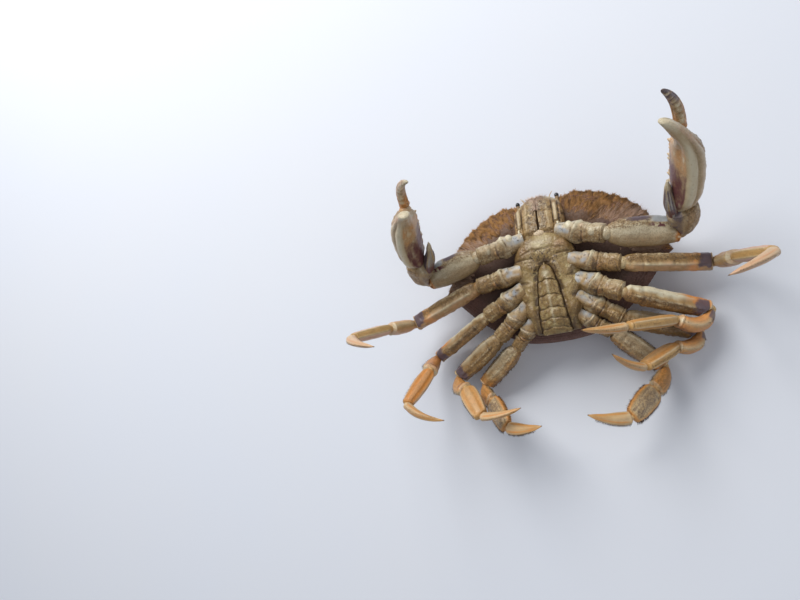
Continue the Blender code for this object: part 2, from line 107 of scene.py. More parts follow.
# Outlines along a segment: (share of length, share of half width, share of half thickness)
SHAPES = {
    "base": ((0.0, 0.9, 0.92), (0.1, 1.02, 1.02), (0.26, 1.08, 1.06), (0.42, 1.0, 1.0),
             (0.52, 0.9, 0.9), (0.6, 0.9, 0.9), (0.72, 0.95, 0.94), (0.94, 0.94, 0.9),
             (1.0, 0.6, 0.6)),
    "merus": ((0.0, 0.5, 0.6), (0.05, 0.76, 0.88), (0.12, 0.86, 0.97), (0.25, 1.0, 1.0),
              (0.55, 1.0, 1.0), (0.82, 0.9, 0.98), (0.95, 0.86, 0.96), (0.985, 0.72, 0.8),
              (1.0, 0.4, 0.5)),
    "carpus": ((0.0, 0.42, 0.5), (0.1, 0.62, 0.76), (0.4, 0.9, 1.0), (0.72, 1.0, 1.0),
               (0.93, 0.96, 0.97), (0.98, 0.78, 0.8), (1.0, 0.5, 0.55)),
    "propodus": ((0.0, 0.5, 0.6), (0.06, 0.78, 0.86), (0.14, 0.92, 0.94), (0.35, 1.02, 1.0),
                 (0.65, 0.95, 0.95), (0.92, 0.76, 0.86), (0.975, 0.66, 0.7), (1.0, 0.4, 0.5)),
    "dactyl": ((0.0, 0.5, 0.6), (0.05, 0.9, 0.95), (0.12, 1.0, 1.0), (0.3, 0.97, 0.95),
               (0.65, 0.62, 0.64), (0.9, 0.28, 0.32), (1.0, 0.07, 0.09)),
    "arm": ((0.0, 0.42, 0.5), (0.05, 0.64, 0.78), (0.3, 0.97, 1.0), (0.6, 1.02, 1.0),
            (0.86, 0.88, 0.96), (0.955, 0.78, 0.88), (1.0, 0.42, 0.5)),
    "wrist": ((0.0, 0.42, 0.5), (0.12, 0.68, 0.78), (0.42, 0.96, 1.0), (0.74, 1.02, 1.0),
              (0.93, 0.88, 0.93), (1.0, 0.5, 0.55)),
    "finger": ((0.0, 0.6, 0.7), (0.08, 0.98, 1.0), (0.35, 0.92, 0.93), (0.65, 0.68, 0.72),
               (0.88, 0.42, 0.46), (0.96, 0.27, 0.3), (1.0, 0.08, 0.1)),
}
# Hand: (distance from the wrist, shift to the finger side, inward shift, half height, half thickness)
HAND = ((0.0, 0.0, -0.5, 7.5, 6.0), (5.0, 0.0, -1.5, 11.5, 7.8), (20.0, 0.5, -3.0, 17.0, 9.2),
        (38.0, 1.5, -3.4, 18.4, 9.6), (48.0, 2.6, -2.8, 17.4, 9.2), (53.6, 4.2, -2.0, 15.4, 8.7),
        (56.4, 7.0, -1.2, 12.5, 8.0), (59.0, 9.6, -0.4, 9.9, 7.4), (64.0, 12.4, 1.6, 7.6, 6.6),
        (70.0, 14.3, 4.8, 6.2, 5.8), (76.0, 15.6, 8.6, 5.1, 4.9), (81.0, 16.4, 12.4, 4.6, 4.4),
        (84.3, 16.6, 15.2, 3.8, 3.7), (85.8, 16.6, 16.5, 2.0, 2.0))
# How far each fixed finger's end is bent from that line, in the same three directions
FINGER_BEND = {"claw_left": (0.0, 0.0, 0.0), "claw_right": (-6.0, 7.0, -9.5)}
# Distance from the wrist to where the fixed finger starts
PALM_LENGTH = 55.0
# Angles of the rows of beads on the palm's outer face, and the count of spines in a crest row
BEAD_ROWS, CREST_SPINES = (-66.0, -90.0, -114.0, -138.0), 9
# Shares of a spine's and of a hair's length at which it has a ring of points
SPINE_LEVELS, HAIR_LEVELS = (0.0, 0.3, 0.6, 0.85), (0.0, 0.5)
# Movable finger: its root on the hand, then the corners of its bow and its tip from that root,
# each along the hand, to the finger side and inward
FINGER_ROOT = (57.4, -8.6, -1.6)
FINGER_PATH = {"claw_left": ((16.5, -2.0, -1.0), (31.3, 3.6, 6.0), (40.8, 12.6, 14.5)),
               "claw_right": ((15.5, -1.5, -2.5), (30.8, 4.6, 1.0), (38.8, 15.1, 11.5))}
# Ball of skin in each movable finger's hinge
HINGE_PLACE, HINGE_RADIUS = (55.2, -6.4, -1.6), 5.2
# How far the markings are turned about each palm
PALM_TWIST = {"claw_left": 0.0, "claw_right": 20.0}
# End of the wrist's tooth, along the hand, to the finger side and inward
WRIST_TOOTH = {"claw_left": (25.0, 0.0, 9.2), "claw_right": (25.0, 0.0, 13.0)}

# Layers of the shell's hair: count, first and last share of the rings, share of the set length,
# radius, stand, and the lowest y of the roots
HAIR_LAYERS = {
    "combed": (19000, 0.64, 0.975, 1.0, 0.2, 0.12, 22.0),
    "pale": (13000, 0.62, 0.9, 1.7, 0.21, 0.12, -8.0),
    "edge": (6400, 0.95, 0.998, 0.8, 0.17, 0.16, -12.0),
}

# Camera: place, turn, lens and sensor width
CAMERA_PLACE = (85.1, -92.9, 529.3)
CAMERA_TURN = (5.698, 25.264, -8.965)
CAMERA_LENS, CAMERA_SENSOR, CAMERA_NEAR = 27.0, 36.0, 0.01
# Stage in metres: half width of the floor, then each lamp's name, place, size and power
FLOOR_HALF = 4.0
LAMPS = (("sky_light", (-0.45, 1.1, 1.15), 1.1, 29.0), ("fill_light", (0.9, -0.6, 1.4), 1.4, 5.0))
SKY_STRENGTH = 0.4

LEFT, RIGHT = "left", "right"
SEED = 11


def tone(red, green, blue):
    """Linear colour of a display colour given from 0 to 255."""
    shares = np.array([red, green, blue]) / 255.0
    linear = np.where(shares < 0.04045, shares / 12.92, ((shares + 0.055) / 1.055) ** 2.4)
    return tuple(float(v) for v in linear)


# Settings

def colour_setting(name, text, value):
    """A colour property of the panel."""
    return bpy.props.FloatVectorProperty(name=name, description=text, default=value, size=3,
                                         subtype="COLOR", min=0.0, max=1.0)


def length_setting(name, text, value):
    """A length property of the panel, kept in metres."""
    return bpy.props.FloatProperty(name=name, description=text, default=value * MM, min=0.0,
                                   subtype="DISTANCE", unit="LENGTH")


class CrabSizes(bpy.types.PropertyGroup):
    """Sizes of the crab's fine detail."""

    tooth: length_setting("Side tooth", "Height of the teeth on the shell's side margins", 2.6)
    last_tooth: length_setting("Last tooth", "Height of the tenth, largest tooth", 5.0)
    shell_hair: length_setting("Shell hair", "Length of the combed hair under the shell", 6.5)
    edge_hair: length_setting("Edge hair", "Length of the hair between the side teeth", 3.2)
    leg_hair: length_setting("Leg hair", "Length of the fringes on the legs", 2.3)
    mouth_hair: length_setting("Mouth hair", "Length of the bristles between the mouthparts", 2.6)


class CrabColours(bpy.types.PropertyGroup):
    """Colours of the crab's shell and hair."""

    cream: colour_setting("Cream", "Ground colour of limbs and underside", tone(196, 176, 132))
    tan: colour_setting("Tan", "Warmer patches of the ground", tone(154, 122, 76))
    # Pale also paints highlight along the ridges and keels of the palms and legs.
    pale: colour_setting("Pale", "Ridges, rims and finger tips", tone(212, 202, 172))
    amber: colour_setting("Amber", "Outer leg segments", tone(208, 136, 64))
    violet: colour_setting("Violet", "Patches before the knees", tone(84, 70, 80))
    maroon: colour_setting("Maroon", "Inner faces of the hands", tone(96, 50, 52))
    olive: colour_setting("Olive", "Speckles on the limbs and sternum", tone(118, 88, 44))
    rose: colour_setting("Rose", "Flush of the outer front legs and the mouth", tone(204, 160, 134))
    # Blue also paints the bluish sheen on the claws' arms, a painted reflection.
    blue: colour_setting("Blue", "Joint skin and the claws' front edges", tone(154, 162, 168))
    # Brown also paints shade in the sternum's hollows and channel, at the flap's edges, under the shell and
    # in the palms' valleys.
    brown: colour_setting("Brown", "Grooves and worn corners", tone(70, 50, 30))
    back: colour_setting("Back", "Upper shell", tone(112, 62, 46))
    under: colour_setting("Underside", "Skin beneath the shell's hair", tone(112, 80, 70))
    hair: colour_setting("Hair", "Combed hair of the shell", tone(184, 134, 74))
    bristle: colour_setting("Bristle", "Bristles of the mouth", tone(236, 218, 198))
    fringe: colour_setting("Fringe", "Dark fringes of the legs", tone(62, 46, 28))
    floor: colour_setting("Floor", "Floor under the model", tone(218, 222, 230))


# Numbers

def unit(vector):
    """The vectors along the last axis at length one."""
    vector = np.asarray(vector, float)
    return vector / np.linalg.norm(vector, axis=-1, keepdims=True)


def direction(azimuth, elevation):
    """Unit vector from an azimuth and an elevation in degrees."""
    a, e = math.radians(azimuth), math.radians(elevation)
    return np.array([math.cos(e) * math.cos(a), math.cos(e) * math.sin(a), math.sin(e)])


def stacked(*parts):
    """Arrays of parts that fit together, side by side on a new last axis."""
    return np.stack(np.broadcast_arrays(*parts), -1)


def held(x):
    """x held between 0 and 1."""
    return np.clip(x, 0, 1)


def soft(x, low, high):
    """0 up to low, 1 from high on, and 3t^2 - 2t^3 between them."""
    t = held((x - low) / (high - low))
    return t * t * (3.0 - 2.0 * t)


def band(x, low, high, edge):
    """1 between low and high, falling to 0 over twice the edge at both."""
    return soft(x, low - edge, low + edge) * (1.0 - soft(x, high - edge, high + edge))


def bump(x, middle, width):
    """A bell: exp of minus the square of the distance from the middle over the width."""
    return np.exp(-((x - middle) / width) ** 2)


def apart(angle, middle):
    """Difference of two angles in degrees, between -180 and 180."""
    return (angle - middle + 180.0) % 360.0 - 180.0


def lobe(angle, middle, width):
    """A bell on an angle in degrees."""
    return bump(apart(angle, middle), 0, width)


def curve(x, stations):
    """Values of the smooth curve through stations (x, y1, y2 ...), with no overshoot.

    Cubic Hermite pieces whose slope at a station is the harmonic mean of the slopes beside it.
    """
    stations = np.asarray(stations, float)
    xs, ys = stations[:, 0], stations[:, 1:]
    step = np.diff(xs)[:, None]
    slope = np.diff(ys, axis=0) / step
    before, after = slope[:-1], slope[1:]
    same = before * after > 0
    mean = np.where(same, 2 * before * after / np.where(same, before + after, 1.0), 0.0)
    tangent = np.concatenate([slope[:1], mean, slope[-1:]])
    x = np.asarray(x, float)
    i = np.clip(np.searchsorted(xs, x, "right") - 1, 0, len(xs) - 2)
    t = ((x - xs[i]) / step[i, 0])[..., None]
    near = ys[i] * (1 + 2 * t) * (1 - t) ** 2 + ys[i + 1] * t * t * (3 - 2 * t)
    return near + step[i] * (tangent[i] * t * (1 - t) ** 2 - tangent[i + 1] * t * t * (1 - t))


def lumps(points, size, seed=0):
    """Value noise from 0 to 1: random values on a lattice of that size, smoothly joined."""
    place = np.asarray(points, float) / size + 19.7 * seed
    cell = np.floor(place).astype(np.int64)
    share = place - cell
    share = share * share * (3 - 2 * share)
    total = np.zeros(place.shape[:-1])
    for corner in range(8):
        step = np.array([corner & 1, corner >> 1 & 1, corner >> 2])
        key = ((cell + step) * np.array([73856093, 19349663, 83492791])).sum(-1) & 0x7FFFFFFF
        key = (key ^ key >> 13) * 15731 & 0x7FFFFFFF
        key = (key ^ key >> 11) * 789221 & 0x7FFFFFFF
        weight = np.prod(np.where(step, share, 1 - share), axis=-1)
        total += weight * (key % 10007) / 10006.0
    return total


# Meshes

PAINTS = ("mottle", "amber", "violet", "maroon", "pale", "brown", "rose", "blue", "streak", "tip",
          "shade")


class Sheets:
    """Closed tubes and spikes gathered into one mesh, with painted values on their points."""

    def __init__(self):
        self.points, self.quads, self.tris, self.charts = [], [], [], []
        self.paint = {name: [] for name in PAINTS}
        self.count = 0

    def _keep(self, points, quads, tris, paint, chart=None):
        """Add points and faces, turned round if their signed volume is negative."""
        tris = np.asarray(tris, np.int64).reshape(-1, 3)
        quads = np.asarray(quads, np.int64).reshape(-1, 4)
        every = np.concatenate([tris, quads[:, :3], quads[:, [0, 2, 3]]])
        a, b, c = (points[every[:, k]] for k in range(3))
        if np.einsum("ij,ij->i", a, np.cross(b, c)).sum() < 0:
            tris, quads = tris[:, ::-1], quads[:, ::-1]
        self.points.append(points)
        self.quads.append(quads + self.count)
        self.tris.append(tris + self.count)
        self.charts.append(np.zeros((len(points), 2)) if chart is None else chart)
        for name in PAINTS:
            self.paint[name].append(np.broadcast_to(paint.get(name, 0.0), len(points)))
        self.count += len(points)

    def tube(self, grid, **paint):
        """A grid of rows and columns, closed round its columns and to a point at both ends."""
        rows, cols = grid.shape[:2]
        i, j = np.arange(rows - 1)[:, None] * cols, np.arange(cols)[None, :]
        k = (j + 1) % cols
        quads = np.stack([i + j, i + k, i + cols + k, i + cols + j], -1).reshape(-1, 4)
        first, last = rows * cols, rows * cols + 1
        j, k = j.ravel(), k.ravel()
        top = (rows - 1) * cols
        tris = np.concatenate([
            np.stack([np.full(cols, first), k, j], -1),
            np.stack([np.full(cols, last), top + j, top + k], -1)])
        points = np.concatenate([grid.reshape(-1, 3), grid[:1].mean(1), grid[-1:].mean(1)])
        values = {}
        for name, value in paint.items():
            value = np.broadcast_to(value, (rows, cols))
            values[name] = np.concatenate([value.ravel(), [value[0].mean(), value[-1].mean()]])
        self._keep(points, quads, tris, values)

    def spikes(self, roots, ways, lengths, radii, bends=0.0, sides=3, levels=(0.0, 0.35, 0.7),
               flat=1.0, chart=None, **paint):
        """Closed pointed rods, one for each root.

        A rod's middle line is root + s * length * way + s^2 * bend, and its radius
        radius * (1 - s)^0.7, for s from 0 to 1. flat thins it across.
        """
        count = len(roots)
        ways = unit(ways)
        helper = np.where(np.abs(ways[:, 2:]) < 0.8, [[0.0, 0.0, 1.0]], [[0.0, 1.0, 0.0]])
        across = unit(np.cross(ways, helper))
        over = np.cross(ways, across)
        lengths = np.broadcast_to(lengths, count)[:, None]
        radii = np.broadcast_to(radii, count)[:, None, None]
        bends = np.broadcast_to(bends, (count, 3))
        s = np.array(levels)[None, :, None]
        middle = roots[:, None] + s * (ways * lengths)[:, None] + s * s * bends[:, None]
        turn = 2 * math.pi * np.arange(sides) / sides
        ring = (across[:, None] * np.cos(turn)[None, :, None]
                + over[:, None] * np.sin(turn)[None, :, None] * flat)
        shrink = (1 - s) ** 0.7
        rings = middle[:, :, None] + (radii * shrink)[..., None] * ring[:, None]
        tips = (roots + ways * lengths + bends)[:, None]
        points = np.concatenate([rings.reshape(count, -1, 3), tips], 1)
        each = points.shape[1]
        base = np.arange(count)[:, None, None] * each
        i = np.arange(len(levels) - 1)[:, None] * sides
        j = np.arange(sides)[None, :]
        k = (j + 1) % sides
        quads = np.stack([i + j, i + k, i + sides + k, i + sides + j], -1).reshape(1, -1, 4)
        top = (len(levels) - 1) * sides
        cap = np.stack([top + j[0], top + k[0], np.full(sides, each - 1)], -1)
        foot = np.stack([np.zeros(sides - 2, int), j[0, 2:], j[0, 1:-1]], -1)
        tris = np.concatenate([cap, foot])[None]
        along = np.append(np.repeat(levels, sides), 1.0)
        values = {name: np.repeat(np.broadcast_to(value, count), each)
                  for name, value in paint.items()}
        values["tip"] = np.tile(along, count)
        if chart is not None:
            patch = 0.003 * np.stack([np.append(np.tile(j[0] / sides, len(levels)), 0.5), along], -1)
            chart = (chart[:, None] + patch[None]).reshape(-1, 2)
        self._keep(points.reshape(-1, 3), quads + base, tris + base, values, chart)

    def put(self, name, slot, finish, nodes=(), charted=False):
        """Make the object: it rides on the one body, and may stand for CAD nodes."""
        points = np.concatenate(self.points) * MM
        quads, tris = np.concatenate(self.quads), np.concatenate(self.tris)
        mesh = bpy.data.meshes.new(name)
        mesh.vertices.add(len(points))
        mesh.vertices.foreach_set("co", points.astype(np.float32).ravel())
        corners = np.concatenate([quads.ravel(), tris.ravel()]).astype(np.int32)
        mesh.loops.add(len(corners))
        mesh.loops.foreach_set("vertex_index", corners)
        starts = np.concatenate([np.arange(len(quads)) * 4, quads.size + np.arange(len(tris)) * 3])
        mesh.polygons.add(len(starts))
        mesh.polygons.foreach_set("loop_start", starts.astype(np.int32))
        mesh.update(calc_edges=True)
        for paint, values in self.paint.items():
            values = np.concatenate(values)
            if values.any():
                layer = mesh.attributes.new(paint, "FLOAT", "POINT")
                layer.data.foreach_set("value", values.astype(np.float32))
        if charted:
            chart = np.concatenate(self.charts)[corners]
            layer = mesh.uv_layers.new(name="OFBake")
            layer.uv.foreach_set("vector", chart.astype(np.float32).ravel())
        if mesh.validate(verbose=False):
            raise RuntimeError(f"{name} had bad faces")
        mesh.shade_smooth()
        mesh.materials.append(finish)
        made = bpy.data.objects.new(name, mesh)
        bpy.context.scene.collection.objects.link(made)
        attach(made, "root")
        if nodes:
            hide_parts(*nodes)
        return made


# Finishes

class Wire:
    """A socket of a material. Arithmetic on it adds Math nodes."""

    def __init__(self, tree, socket):
        self.tree, self.socket = tree, socket

    def math(self, operation, *terms):
        """A Math node of that operation."""
        return self.tree.add("ShaderNodeMath", {"operation": operation}, dict(enumerate(terms)))

    def __add__(self, other):
        return self.math("ADD", self, other)

    __radd__ = __add__

    def __sub__(self, other):
        return self.math("SUBTRACT", self, other)

    def __rsub__(self, other):
        return self.math("SUBTRACT", other, self)

    def __mul__(self, other):
        return self.math("MULTIPLY", self, other)

    __rmul__ = __mul__


class Finish:
    """Node tree of one material. add makes every node; the rest are short ways to call it."""

    def __init__(self, name):
        self.material = bpy.data.materials.new(name)
        self.material.use_nodes = True
        self.tree = self.material.node_tree
        self.tree.nodes.clear()
        self.object = self.add("ShaderNodeTexCoord", output="Object")

    def add(self, kind, settings=None, values=None, output=0):
        """A node: its settings first, then a value or a link for each named socket."""
        node = self.tree.nodes.new(kind)
        for key, value in (settings or {}).items():
            setattr(node, key, value)
        for key, value in (values or {}).items():
            if isinstance(value, Wire):
                self.tree.links.new(value.socket, node.inputs[key])
            else:
                node.inputs[key].default_value = value
        return Wire(self, node.outputs[output]) if node.outputs else None

    def paint(self, name):
        """A painted value of the mesh."""
        return self.add("ShaderNodeAttribute", {"attribute_name": name}, output="Fac")

    def noise(self, size, detail=3.0, roughness=0.55):
        """Noise with features of that size in millimetres."""
        return self.add("ShaderNodeTexNoise", values={
            "Vector": self.object, "Scale": 1.0 / (size * MM), "Detail": detail,
            "Roughness": roughness})

    def cells(self, size):
        """Distance to the middle of the nearest of cells of that size in millimetres."""
        return self.add("ShaderNodeTexVoronoi", values={"Vector": self.object,
                                                        "Scale": 1.0 / (size * MM)})

    def soft(self, value, low, high):
        """0 up to low and 1 from high on, smoothly between."""
        return self.add("ShaderNodeMapRange", {"interpolation_type": "SMOOTHSTEP"},
                        {"Value": value, "From Min": low, "From Max": high})

    def mix(self, share, first, second):
        """Colour that turns from the first to the second as the share goes from 0 to 1."""
        first, second = (v if isinstance(v, Wire) else (*v, 1.0) for v in (first, second))
        return self.add("ShaderNodeMix", {"data_type": "RGBA", "clamp_factor": True},
                        {0: share, 6: first, 7: second}, output=2)

    def done(self, colour, roughness, height=None, depth=0.0, coat=0.0):
        """Principled surface with a bump of that depth in millimetres; returns the material."""
        values = {"Base Color": colour if isinstance(colour, Wire) else (*colour, 1.0),
                  "Roughness": roughness, "Coat Weight": coat, "Coat Roughness": 0.25}
        if height is not None:
            values["Normal"] = self.add("ShaderNodeBump", values={
                "Height": height, "Distance": depth * MM, "Strength": 1.0})
        surface = self.add("ShaderNodeBsdfPrincipled", values=values)
        self.add("ShaderNodeOutputMaterial", values={"Surface": surface})
        return self.material


def limb_finish(colours, name, ground, warm, speck=1.0):
    """Shell of a limb or plate.

    A ground that drifts between two colours takes the painted amber, rose, pale, blue, violet,
    maroon and brown, and olive stains and brown dots where the mottle is painted.
    """
    f = Finish(name)
    drift, fine = f.noise(9.0), f.noise(0.9 * speck, 4.0, 0.7)
    patchy, grain = f.noise(2.4 * speck, 4.0, 0.65), f.cells(1.15 * speck)
    mottle, streak = f.paint("mottle"), f.paint("streak")
    ragged = (patchy - 0.5) * 1.1 + (fine - 0.5) * 0.5
    colour = f.mix(f.soft(drift + (fine - 0.5) * 0.4 + streak * 0.5, 0.38, 0.7), ground, warm)
    colour = f.mix(f.soft(f.paint("amber") + (drift - 0.5) * 0.5, 0.15, 0.95), colour, colours.amber)
    colour = f.mix(f.soft(f.paint("rose") + (drift - 0.5) * 0.4, 0.1, 0.9), colour, colours.rose)
    colour = f.mix(f.paint("pale") * f.soft(patchy, 0.15, 0.5), colour, colours.pale)
    colour = f.mix(f.soft(f.paint("blue") + ragged * 0.5, 0.25, 1.1) * 0.82, colour, colours.blue)
    stain = f.soft(patchy * 0.7 + streak * 0.45 + (fine - 0.5) * 0.7 + mottle * 0.14, 0.52, 0.82)
    colour = f.mix(stain * mottle * 0.85, colour, colours.olive)
    dotted = f.soft(patchy + drift + mottle * 0.4 + streak * 0.3, 1.0, 1.35)
    dots = f.soft(grain + (fine - 0.5) * 0.5, 0.42, 0.2) * dotted
    colour = f.mix(dots * mottle * 0.7, colour, colours.brown)
    colour = f.mix(f.soft(f.paint("violet") + ragged * 0.7, 0.25, 0.85) * 0.9, colour, colours.violet)
    colour = f.mix(f.soft(f.paint("maroon") + ragged * 0.4, 0.25, 0.85), colour, colours.maroon)
    colour = f.mix(f.soft(f.paint("brown") + (fine - 0.5) * 0.5, 0.2, 0.95) * 0.9, colour, colours.brown)
    height = fine * 0.35 + f.soft(grain, 0.5, 0.1) * (mottle * 0.8 + 0.12)
    return f.done(colour, 0.34 + 0.25 * fine, height, 0.28, coat=0.15)


def shell_finish(colours):
    """Carapace: purple-brown back with pale granules, duller skin below, painted rims."""
    f = Finish("carapace")
    drift, fine, grain = f.noise(14.0), f.noise(1.3, 4.0, 0.7), f.cells(1.5)
    back = f.mix(f.soft(drift, 0.35, 0.7), colours.back, tone(134, 84, 66))
    back = f.mix(f.soft(grain, 0.3, 0.12) * 0.45, back, tone(186, 140, 112))
    under = f.mix(f.soft(fine, 0.35, 0.7), colours.under, tone(92, 60, 46))
    fur_skin = f.mix(f.soft(fine, 0.35, 0.65), tone(122, 78, 38), tone(84, 52, 28))
    colour = f.mix(f.paint("mottle"), back, under)
    colour = f.mix(f.soft(f.paint("amber") + (fine - 0.5) * 0.5, 0.2, 0.9), colour, fur_skin)
    colour = f.mix(f.paint("pale"), colour, colours.pale)
    colour = f.mix(f.paint("brown"), colour, colours.brown)
    height = fine * 0.4 + f.soft(grain, 0.45, 0.1)
    return f.done(colour, 0.5 + 0.25 * fine, height, 0.3, coat=0.05)


def hair_finish(name, root, end, dull=(60, 38, 24)):
    """Hair: darker at the root than at the tip, and each tuft its own shade value that turns it towards a
    dark tone; on the shell's hair that value is painted shade in the gaps between locks.
    """
    f = Finish(name)
    shade = f.paint("shade")
    colour = f.mix(f.soft(f.paint("tip") * 0.9 + (1 - shade) * 0.35, 0.05, 1.1), root, end)
    colour = f.mix(shade * 0.7, colour, tone(*dull))
    colour = f.mix(f.paint("rose") * 0.9, colour, tone(198, 166, 144))
    return f.done(colour, 0.55 + 0.2 * shade)


def eye_finish():
    """Glossy black cornea with a faint net of facets on a brown stalk."""
    f = Finish("eye")
    net = f.cells(0.35)
    black = f.mix(f.soft(net, 0.3, 0.6), tone(14, 12, 14), tone(30, 26, 28))
    stalk = f.mix(f.noise(1.5), tone(120, 90, 60), tone(170, 140, 100))
    colour = f.mix(f.paint("pale"), black, stalk)
    return f.done(colour, 0.12 + 0.4 * f.paint("pale"), net, 0.03, coat=0.3)


def floor_finish(colours):
    """Pale matt floor with a trace of unevenness."""
    f = Finish("studio_floor")
    colour = f.mix(f.noise(300.0), colours.floor, tone(222, 223, 226))
    return f.done(colour, 0.85)


# Limbs

class Limb:
    """Joint points, bent middle lines and joint planes of one limb."""

    def __init__(self, name, sizes):
        hip, turns = POSE[name]
        self.side = 1.0 if name.endswith(LEFT) else -1.0
        self.ways = [direction(*turn) for turn in turns]
        self.sizes = sizes
        self.joints = [np.array(hip, float)]
        for way, size in zip(self.ways, sizes):
            self.joints.append(self.joints[-1] + way * size[0])
        self.bend = unit(np.cross(self.ways[1], self.ways[2]))
        if self.bend[1] < 0:
            self.bend = -self.bend
        self.roll = ROLL.get(name, (0, 0))
        self.knees = [self.knee(i) for i in range(len(self.ways))]

    def knee(self, i):
        """Middle control point of segment i: it bows outwards after a sharp fold."""
        middle = (self.joints[i] + self.joints[i + 1]) / 2
        if i == 0:
            return middle
        fold = math.degrees(math.acos(np.clip(self.ways[i - 1] @ self.ways[i], -1, 1)))
        share = 0.52 * held((fold - 60.0) / 95.0)
        if i == len(self.ways) - 1:
            share += 0.12
        out = self.ways[i - 1] + self.ways[i]
        out = out - self.ways[i] * (out @ self.ways[i])
        size = np.linalg.norm(out)
        if size < 0.02:
            return middle
        return middle + out / size * share * self.sizes[i][0]

    def start_way(self, i):
        """Direction in which segment i leaves its first joint."""
        return unit(self.knees[i] - self.joints[i])

    def end_way(self, i):
        """Direction in which segment i comes into its last joint."""
        return unit(self.joints[i + 1] - self.knees[i])

    def lines(self, i, t):
        """Middle points, ways, wide and thick directions at the shares t of segment i.

        The middle line is the quadratic Bezier through the two joints and the knee.
        """
        t = np.asarray(t)[:, None]
        a, k, b = self.joints[i], self.knees[i], self.joints[i + 1]
        middle = a * (1 - t) ** 2 + k * 2 * t * (1 - t) + b * t ** 2
        way = unit((k - a) * (1 - t) + (b - k) * t)
        wide = unit(np.cross(self.bend, way))
        thick = np.cross(way, wide)
        turn = math.radians(self.roll[0] if i < 2 else self.roll[1])
        wide = wide * math.cos(turn) + thick * math.sin(turn)
        return middle, way, wide, np.cross(way, wide)

    def fit(self, i, grid, t):
        """Slide points that pass the plane of a joint back along the segment, softly."""
        if i > 0:
            normal = -unit(self.end_way(i - 1) + self.start_way(i))
            back = slid(grid, self.joints[i], normal, -self.start_way(i))
            grid = np.where((t < 0.45)[:, None, None], back, grid)
        if i < len(self.ways) - 1:
            normal = unit(self.end_way(i) + self.start_way(i + 1))
            back = slid(grid, self.joints[i + 1], normal, self.end_way(i))
            grid = np.where((t > 0.45)[:, None, None], back, grid)
        return grid


def slid(points, joint, normal, along, softness=0.8):
    """Points moved back along the segment by (d + root(d^2 + s^2)) / 2, d being how far past."""
    past = (points - joint) @ normal
    move = (past + np.sqrt(past ** 2 + softness ** 2)) / 2 / (along @ normal)
    return points - move[..., None] * along


class Segment:
    """Surface of one limb segment on a grid of shares along it and angles round it.

    round is measured from the edge that faces away from the fold; look is measured from the
    belly side (0) towards the head side (90), by where a point lies round the middle line.
    buried is the share of the length that reaches back past the first joint, into the trunk.
    """

    def __init__(self, limb, i, kind, rows=72, cols=56, square=2.5, buried=0.0):
        s = np.linspace(0.0, 1.0, rows)
        t = 0.35 * s + 0.65 * (0.5 - 0.5 * np.cos(math.pi * s))
        t = t - buried * (1 - t)
        turn = 2 * math.pi * np.arange(cols) / cols
        width, thickness = limb.sizes[i][1:]
        shares = curve(held(t), SHAPES[kind])
        middle, way, wide, thick = limb.lines(i, t)
        reach = np.stack([np.cos(turn), np.sin(turn)])
        reach = np.sign(reach) * np.abs(reach) ** (2.0 / square)
        self.limb, self.i, self.t = limb, i, t
        self.middle, self.way = middle[:, None], way[:, None]
        across = wide[:, None] * limb.side
        self.offset = (across * (reach[0] * width * shares[:, :1])[..., None]
                       + thick[:, None] * (reach[1] * thickness * shares[:, 1:])[..., None])
        self.round = np.degrees(turn)[None, :] + 0.0 * t[:, None]
        ahead = unit(np.array([0.0, 1.0, 0.0]) - way * way[:, 1:2])
        belly = np.cross(ahead, way)
        belly = belly * np.sign(belly[:, 2:])
        self.look = np.degrees(np.arctan2((self.offset * ahead[:, None]).sum(-1),
                                          (self.offset * belly[:, None]).sum(-1)))
        self.along = t[:, None] + 0.0 * self.round
        self.outward = unit(self.offset)
        self.lift = np.zeros_like(self.round)
        place = stacked((t * limb.sizes[i][0] / 8.0)[:, None], 0.7 * width * reach[:1],
                        0.7 * thickness * reach[1:])
        self.streak = lumps(place, 1.0, 32) * 0.6 + lumps(place, 0.45, 38) * 0.4

    def raise_by(self, height):
        """Add to the relief, in millimetres."""
        self.lift = self.lift + height

    def grid(self):
        """The finished grid: middle line + offset + relief, fitted to its joints."""
        first = self.t[0]
        fade = soft(self.along, first, first + 0.06) * (1 - soft(self.along, 0.97, 1.0))
        points = self.middle + self.offset + self.outward * (self.lift * fade)[..., None]
        return self.limb.fit(self.i, points, self.t)

    def grains(self, size, seed):
        """Noise on the surface for granules."""
        return lumps(self.middle + self.offset, size, seed)

    def nearest(self, along, angle):
        """Row and column of the grid nearest to a share along it and a look angle."""
        miss = np.abs(self.along - along) * 60 + np.abs(apart(self.look, angle)) / 6
        return np.unravel_index(np.argmin(miss), miss.shape)


def knuckle(sheets, limb, i, share, **paint):
    """Soft skin in joint i: a ball of that share of the thinner neighbour's half thickness."""
    radius = share * min(limb.sizes[i - 1][2], limb.sizes[i][2])
    turn = np.linspace(0.08, math.pi - 0.08, 12)[:, None]
    around = 2 * math.pi * np.arange(18)[None, :] / 18
    ball = stacked(np.sin(turn) * np.cos(around), np.sin(turn) * np.sin(around), np.cos(turn))
    sheets.tube(limb.joints[i] + radius * ball, **paint)


